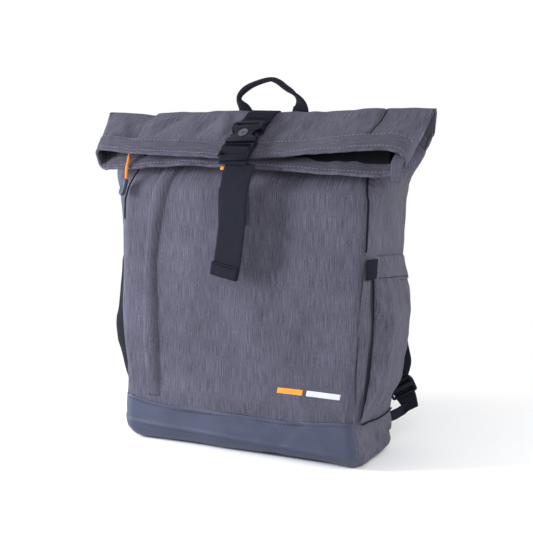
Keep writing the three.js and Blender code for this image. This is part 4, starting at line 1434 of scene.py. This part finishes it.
tube("right_pocket_piping", seam + [0.9, 0, -0.8], 0.9, THREAD_DARK, "root", (), 8, 2.0)


def gusset_grid():
    """The strip that joins the pocket's front edge to the front seam."""
    z, t = np.linspace(60, 211, 60)[:, None], np.linspace(0, 1, 14)[None]
    y_front = interp(z, [(60, -52), (100, -55.5), (211, -56.5)])
    y_back = interp(z, [(60, -46), (100, -40), (150, -37.5), (211, -41)])
    x_front = half_width(z, True) - 1.2
    x_back = interp(z, [(60, 145), (76, 147.5), (103, 150.5), (139, 152.5), (211, 153)])
    swell = 1.4 * np.sin(t * math.pi) * smooth(z, 62, 90) - 5.0 * smooth(t, 0.6, 1)
    x = x_front + (x_back - x_front) * t + swell
    return np.stack(np.broadcast_arrays(x, y_front + (y_back - y_front) * t, z), -1)


gusset = gusset_grid()
node = "right_pocket_gusset"
cloth(f"{node}_cloth", gusset, HEATHER_SIDE, "root", 1.2, [node], uv=gusset[..., 1:])
elastic = [(157.4, -38, 223), (157.4, -44, 223), (155.4, -51, 223), (151.6, -57.5, 223)]
node = "right_pocket_elastic"
ribbon(f"{node}_web", elastic, 20.5, "root", 1.4, across=(0, 0, 1), replaces=[node], flip=True)

left = wrinkled(pocket_body(-1, lambda t: 227), 101, 0.8)
cloth("left_mesh_pocket_knit", left, MESH, "root", 1.2, ["left_mesh_pocket"])
t = np.linspace(1, 0, 70)[None]
trim = pocket_surface(t, np.linspace(225.5, 235, 8)[:, None] + 0 * t, -1)
trim = trim + normals_of(trim) * 0.9
cloth("left_pocket_binding_web", trim, WEBBING, "root", 2.6, ["left_pocket_binding"])

# ---- padded pieces ----
SIM_FRAMES = 20
MOST_SWELL = 3.5  # millimetres that a pad's face may move


def evaluated(obj):
    """The object's mesh with its modifiers applied, and the modifiers taken off."""
    graph = bpy.context.evaluated_depsgraph_get()
    mesh = bpy.data.meshes.new_from_object(obj.evaluated_get(graph))
    obj.modifiers.clear()
    return mesh


def soften(obj, voxel, held):
    """Let a pad swell as stuffed cloth under pressure: moves capped, the held side left where it is."""
    remesh = obj.modifiers.new("remesh", "REMESH")
    remesh.mode, remesh.voxel_size, remesh.use_smooth_shade = "VOXEL", voxel * MM, True
    obj.data = mesh = evaluated(obj)
    rest = np.array([v.co for v in mesh.vertices])
    group = obj.vertex_groups.new(name="held")
    for index in np.nonzero(held(rest / MM - [0, SHIFT, 0]))[0]:
        group.add([int(index)], 1.0, "REPLACE")
    fabric = obj.modifiers.new("cloth", "CLOTH")
    settings = fabric.settings
    settings.quality = 5
    settings.use_pressure = True
    settings.uniform_pressure_force = 4.0
    settings.effector_weights.gravity = 0
    settings.vertex_group_mass = "held"
    settings.tension_stiffness = settings.compression_stiffness = 20
    fabric.point_cache.frame_start, fabric.point_cache.frame_end = 1, SIM_FRAMES
    for frame_number in range(1, SIM_FRAMES + 1):
        bpy.context.scene.frame_set(frame_number)
    swollen = evaluated(obj)
    step = np.array([v.co for v in swollen.vertices]) - rest
    bpy.data.meshes.remove(swollen)
    bpy.context.scene.frame_set(1)
    size = np.linalg.norm(step, axis=1, keepdims=True)
    step *= np.minimum(1, MOST_SWELL * MM / np.maximum(size, 1e-9))
    mesh.vertices.foreach_set("co", (rest + step).ravel())
    fine = obj.modifiers.new("smooth", "SUBSURF")
    fine.levels = fine.render_levels = 1
    obj.data = evaluated(obj)
    obj.data.polygons.foreach_set("use_smooth", [True] * len(obj.data.polygons))


def slab(name, grid, thickness, look, replaces):
    """A pad that rises from a flat back to a crowned face, closed with rounded edges."""
    rows, columns = grid.shape[:2]
    i, j = np.linspace(-1, 1, rows)[:, None], np.linspace(-1, 1, columns)[None]
    crown = (1 - np.abs(i) ** 8) ** 0.5 * (1 - np.abs(j) ** 6) ** 0.5
    outer = raised(grid, thickness * crown)
    count = rows * columns
    faces = []
    for r in range(rows - 1):
        for c in range(columns - 1):
            k = r * columns + c
            faces.append((k, k + 1, k + columns + 1, k + columns))
            faces.append((count + k, count + k + columns, count + k + columns + 1, count + k + 1))
    ring = border(rows, columns)
    for (r0, c0), (r1, c1) in zip(ring, ring[1:] + ring[:1]):
        a, b = r0 * columns + c0, r1 * columns + c1
        faces.append((b, a, count + a, count + b))
    vertices = np.concatenate([outer.reshape(-1, 3), grid.reshape(-1, 3)])
    obj = piece(name, vertices, faces, look, None, replaces)
    bm = bmesh.new()
    bm.from_mesh(obj.data)
    bmesh.ops.remove_doubles(bm, verts=bm.verts, dist=0.0002)
    bmesh.ops.recalc_face_normals(bm, faces=bm.faces)
    bm.to_mesh(obj.data)
    bm.free()
    return obj


def pad_grid(x0, x1, z0, z1, corner=16.0, rows=44, columns=32):
    """A flat grid on the back with rounded corners, running from +x to -x so that it faces +Y."""
    s, r = np.linspace(-1, 1, columns)[None], np.linspace(-1, 1, rows)[:, None]
    half = (z1 - z0) / 2
    into_corner = np.clip((np.abs(r) * half - (half - corner)) / corner, 0, 1)
    inset = corner * (1 - np.sqrt(np.maximum(1 - into_corner**2, 0)))
    x = (x0 + x1) / 2 - s * ((x1 - x0) / 2 - inset)
    return np.stack(np.broadcast_arrays(x, BACK_PLANE, (z0 + z1) / 2 + r * half), -1)


def on_back(p):
    return p[:, 1] < BACK_PLANE + 0.8


BACK_PLANE = HALF_D + 1.2
BACK_PADS = [
    ("back_pad_left", 4.5, pad_grid(-127, -14, 123, 287)),
    ("back_pad_right", 4.5, pad_grid(14, 127, 123, 287)),
    ("lumbar_pad", 5.5, pad_grid(-119, 119, 33, 105, 18, 30, 60)),
]
for node, thickness, grid in BACK_PADS:
    pad = slab(f"{node}_mesh", grid, thickness, MESH, [node])
    soften(pad, 4.0, on_back)
    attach(pad, "root")

# ---- shoulder straps, with their adjusters ----
# A shoulder strap from its root: its x, how far it stands off the back panel, its height and its width.
STRAP_LINE = [(77, 14, 346, 46), (78, 18, 332, 52), (80, 21, 312, 55), (85, 28, 262, 58), (96, 30, 206, 58)]
STRAP_LINE += [(116, 28, 156, 52), (135, 25, 126, 42), (139, 24, 119, 24)]
STRAP_THICK = 9.0
LOCK = (144, HALF_D + 19, 63)
LOCK_TILT, LOCK_SWING = -0.5, 0.35  # about Y and about Z, in radians, on the right
lock_holes = [box_outline(-13, 13, 3, 7, 0.8), box_outline(-13, 13, -7, -3, 0.8)]
lock_points = [(-15, 10), (15, 10), (17, 4), (16, -10), (-16, -10), (-17, 4)]
lock_outline = rounded(lock_points, [2, 2, 2, 3, 3, 2])
# The adjuster webbing, in the lock's own axes, weaves through its slots and hangs below it.
LOOP = [(14, -1.5), (9, -3.6), (4, -4.6), (-2, -4.4), (-7, -3.4), (-14, -0.5), (-22, 3.0), (-27, 6.0)]
HANGER = [(137, 74, 128), (140, 77.5, 106), (143, 79, 88)]
CORNER_TAB = [(153, 80, 42), (150, 78, 39.5), (146, 73, 37)]
CORNER_TAB += [(142, 66, 34.5), (137, 58.5, 32.5), (131, 50, 31)]


def shoulder_strap(word, sign):
    path = np.array([(sign * x, float(back_y(z)) + out - 10, z) for x, out, z, _ in STRAP_LINE])
    line, _ = resample(path, 4.0)
    nearest = [np.argmin(np.linalg.norm(line - p, axis=1)) for p in path]
    wide = np.interp(np.arange(len(line)), nearest, [w for *_, w in STRAP_LINE])
    tangent = unit(np.gradient(line, axis=0))
    side = unit(np.cross(tangent, [0, 1.0, 0]))
    s = np.linspace(-0.5, 0.5, 16)
    grid = line[:, None] + side[:, None] * (wide[:, None] * s)[..., None]
    grid = grid if normals_of(grid)[5, 5, 1] > 0 else grid[:, ::-1]
    pad = slab(f"shoulder_strap_{word}_pad", grid, STRAP_THICK, MESH, [f"shoulder_strap_{word}"])
    soften(pad, 4.5, lambda p: p[:, 2] > 338)
    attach(pad, "root")
    # A webbing runs down the middle of the strap's outer face.
    middle = line + [0, STRAP_THICK + 3.6, 0]
    faces_in = np.cross(side[20], tangent[20])[1] < 0
    flip = bool((sign < 0) ^ faces_in)
    ribbon(f"shoulder_strap_{word}_web", middle[3:-4:4], 25, "root", across=side[20], flip=flip)


def strap_end(word, sign):
    """The ladder-lock, the webbing that it hangs from, its adjuster webbing and the corner tab."""
    tilt, swing = LOCK_TILT * sign, LOCK_SWING * sign

    def lock_place(x, y, z):
        # The tilt about Y acts first on the frame, which stands in X and Z, and then the swing about Z.
        across = x * math.cos(tilt) + y * math.sin(tilt)
        up = y * math.cos(tilt) - x * math.sin(tilt)
        along = across * math.cos(swing) + z * math.sin(swing)
        off = across * math.sin(swing) - z * math.cos(swing)
        return np.stack([sign * LOCK[0] + along, LOCK[1] + off, LOCK[2] + up], -1)

    name = f"ladder_lock_{word}"
    moulding(f"{name}_frame", [(lock_outline, -2, 2, lock_holes, 0.9)], PLASTIC, "root", lock_place, [name])
    loop = [lock_place(0.0, y, z) for y, z in LOOP]
    across = unit(lock_place(1.0, 0.0, 0.0) - lock_place(0.0, 0.0, 0.0))
    hanger = [(sign * x, y, z) for x, y, z in HANGER] + [loop[1] + [0, 1.8, 0]]
    ribbon(f"strap_end_{word}_web", hanger, 25, "root", across=across, flip=sign > 0)
    node = f"adjuster_webbing_{word}"
    ribbon(f"{node}_web", loop, [25, 25, 25, 25, 23, 21, 18, 15], "root", across=across, replaces=[node])
    node = f"corner_tab_{word}"
    tab = [(sign * x, y, z) for x, y, z in CORNER_TAB]
    across = (0.12 * sign, 0.2, 1)
    width = [13, 14, 14, 13, 12, 12]
    ribbon(f"{node}_web", tab, width, "root", 2.0, across=across, replaces=[node], flip=True)


for word, sign in (("left", -1), ("right", 1)):
    shoulder_strap(word, sign)
    strap_end(word, sign)

# ---- foam sheet and base board, inside the cloth ----
foam_x, foam_z = np.meshgrid(np.linspace(118, -118, 30), np.linspace(34, 286, 30))
foam = np.stack([foam_x, np.full_like(foam_x, 46.0), foam_z], -1)
foam_sheet = slab("back_foam_sheet", foam, 4.6, FOAM, ["back_foam"])
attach(foam_sheet, "root")
board = rounded([(-126, -38), (126, -38), (126, 30), (-126, 30)], 14)
board_layers = [(board, 3.6, 6.0, [], 0.5)]
moulding("base_board_sheet", board_layers, FOAM, "root", lambda *axes: np.stack(axes, -1), ["base_board"])

# ---- what stays as the frame's own solids ----
INSIDE_LOOKS = {"foam": FOAM, "lining": LINING}
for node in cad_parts.values():
    for material_slot in node.material_slots:
        name = material_slot.material.name.split(".")[0] if material_slot.material else None
        if name in INSIDE_LOOKS:
            material_slot.material = INSIDE_LOOKS[name].material


# ---- floor ----
def floor_paper():
    """Pale paper that takes the shadows near the object and fades to plain white farther out."""
    look = Look("floor_paper", "paper", Roughness=0.9, Specular_IOR_Level=0.1)
    look.shader.inputs["Base Color"].default_value = (0.92, 0.925, 0.935, 1)
    place = look.scaled(look.place, (1.0, 1.25, 1.0))
    distance = look.node("VectorMath", {0: place}, operation="LENGTH").outputs["Value"]
    reach = {"Value": distance, "From Min": 0.28, "From Max": 0.62}
    fade = look.node("MapRange", reach, interpolation_type="SMOOTHSTEP").outputs["Result"]
    glow = look.node("Emission", {"Color": (1, 1, 1, 1), "Strength": 1.0}).outputs[0]
    mixed = look.node("MixShader", {0: fade, 1: look.shader.outputs[0], 2: glow})
    look.put(look.tree.nodes["Material Output"].inputs["Surface"], mixed.outputs[0])
    return look


floor_mesh = bpy.data.meshes.new("floor")
floor_mesh.from_pydata([(-6, -6, 0), (6, -6, 0), (6, 6, 0), (-6, 6, 0)], [], [(0, 1, 2, 3)])
floor_mesh.materials.append(floor_paper().material)
floor = bpy.data.objects.new("floor", floor_mesh)
bpy.context.scene.collection.objects.link(floor)
floor.location.z = -0.0002
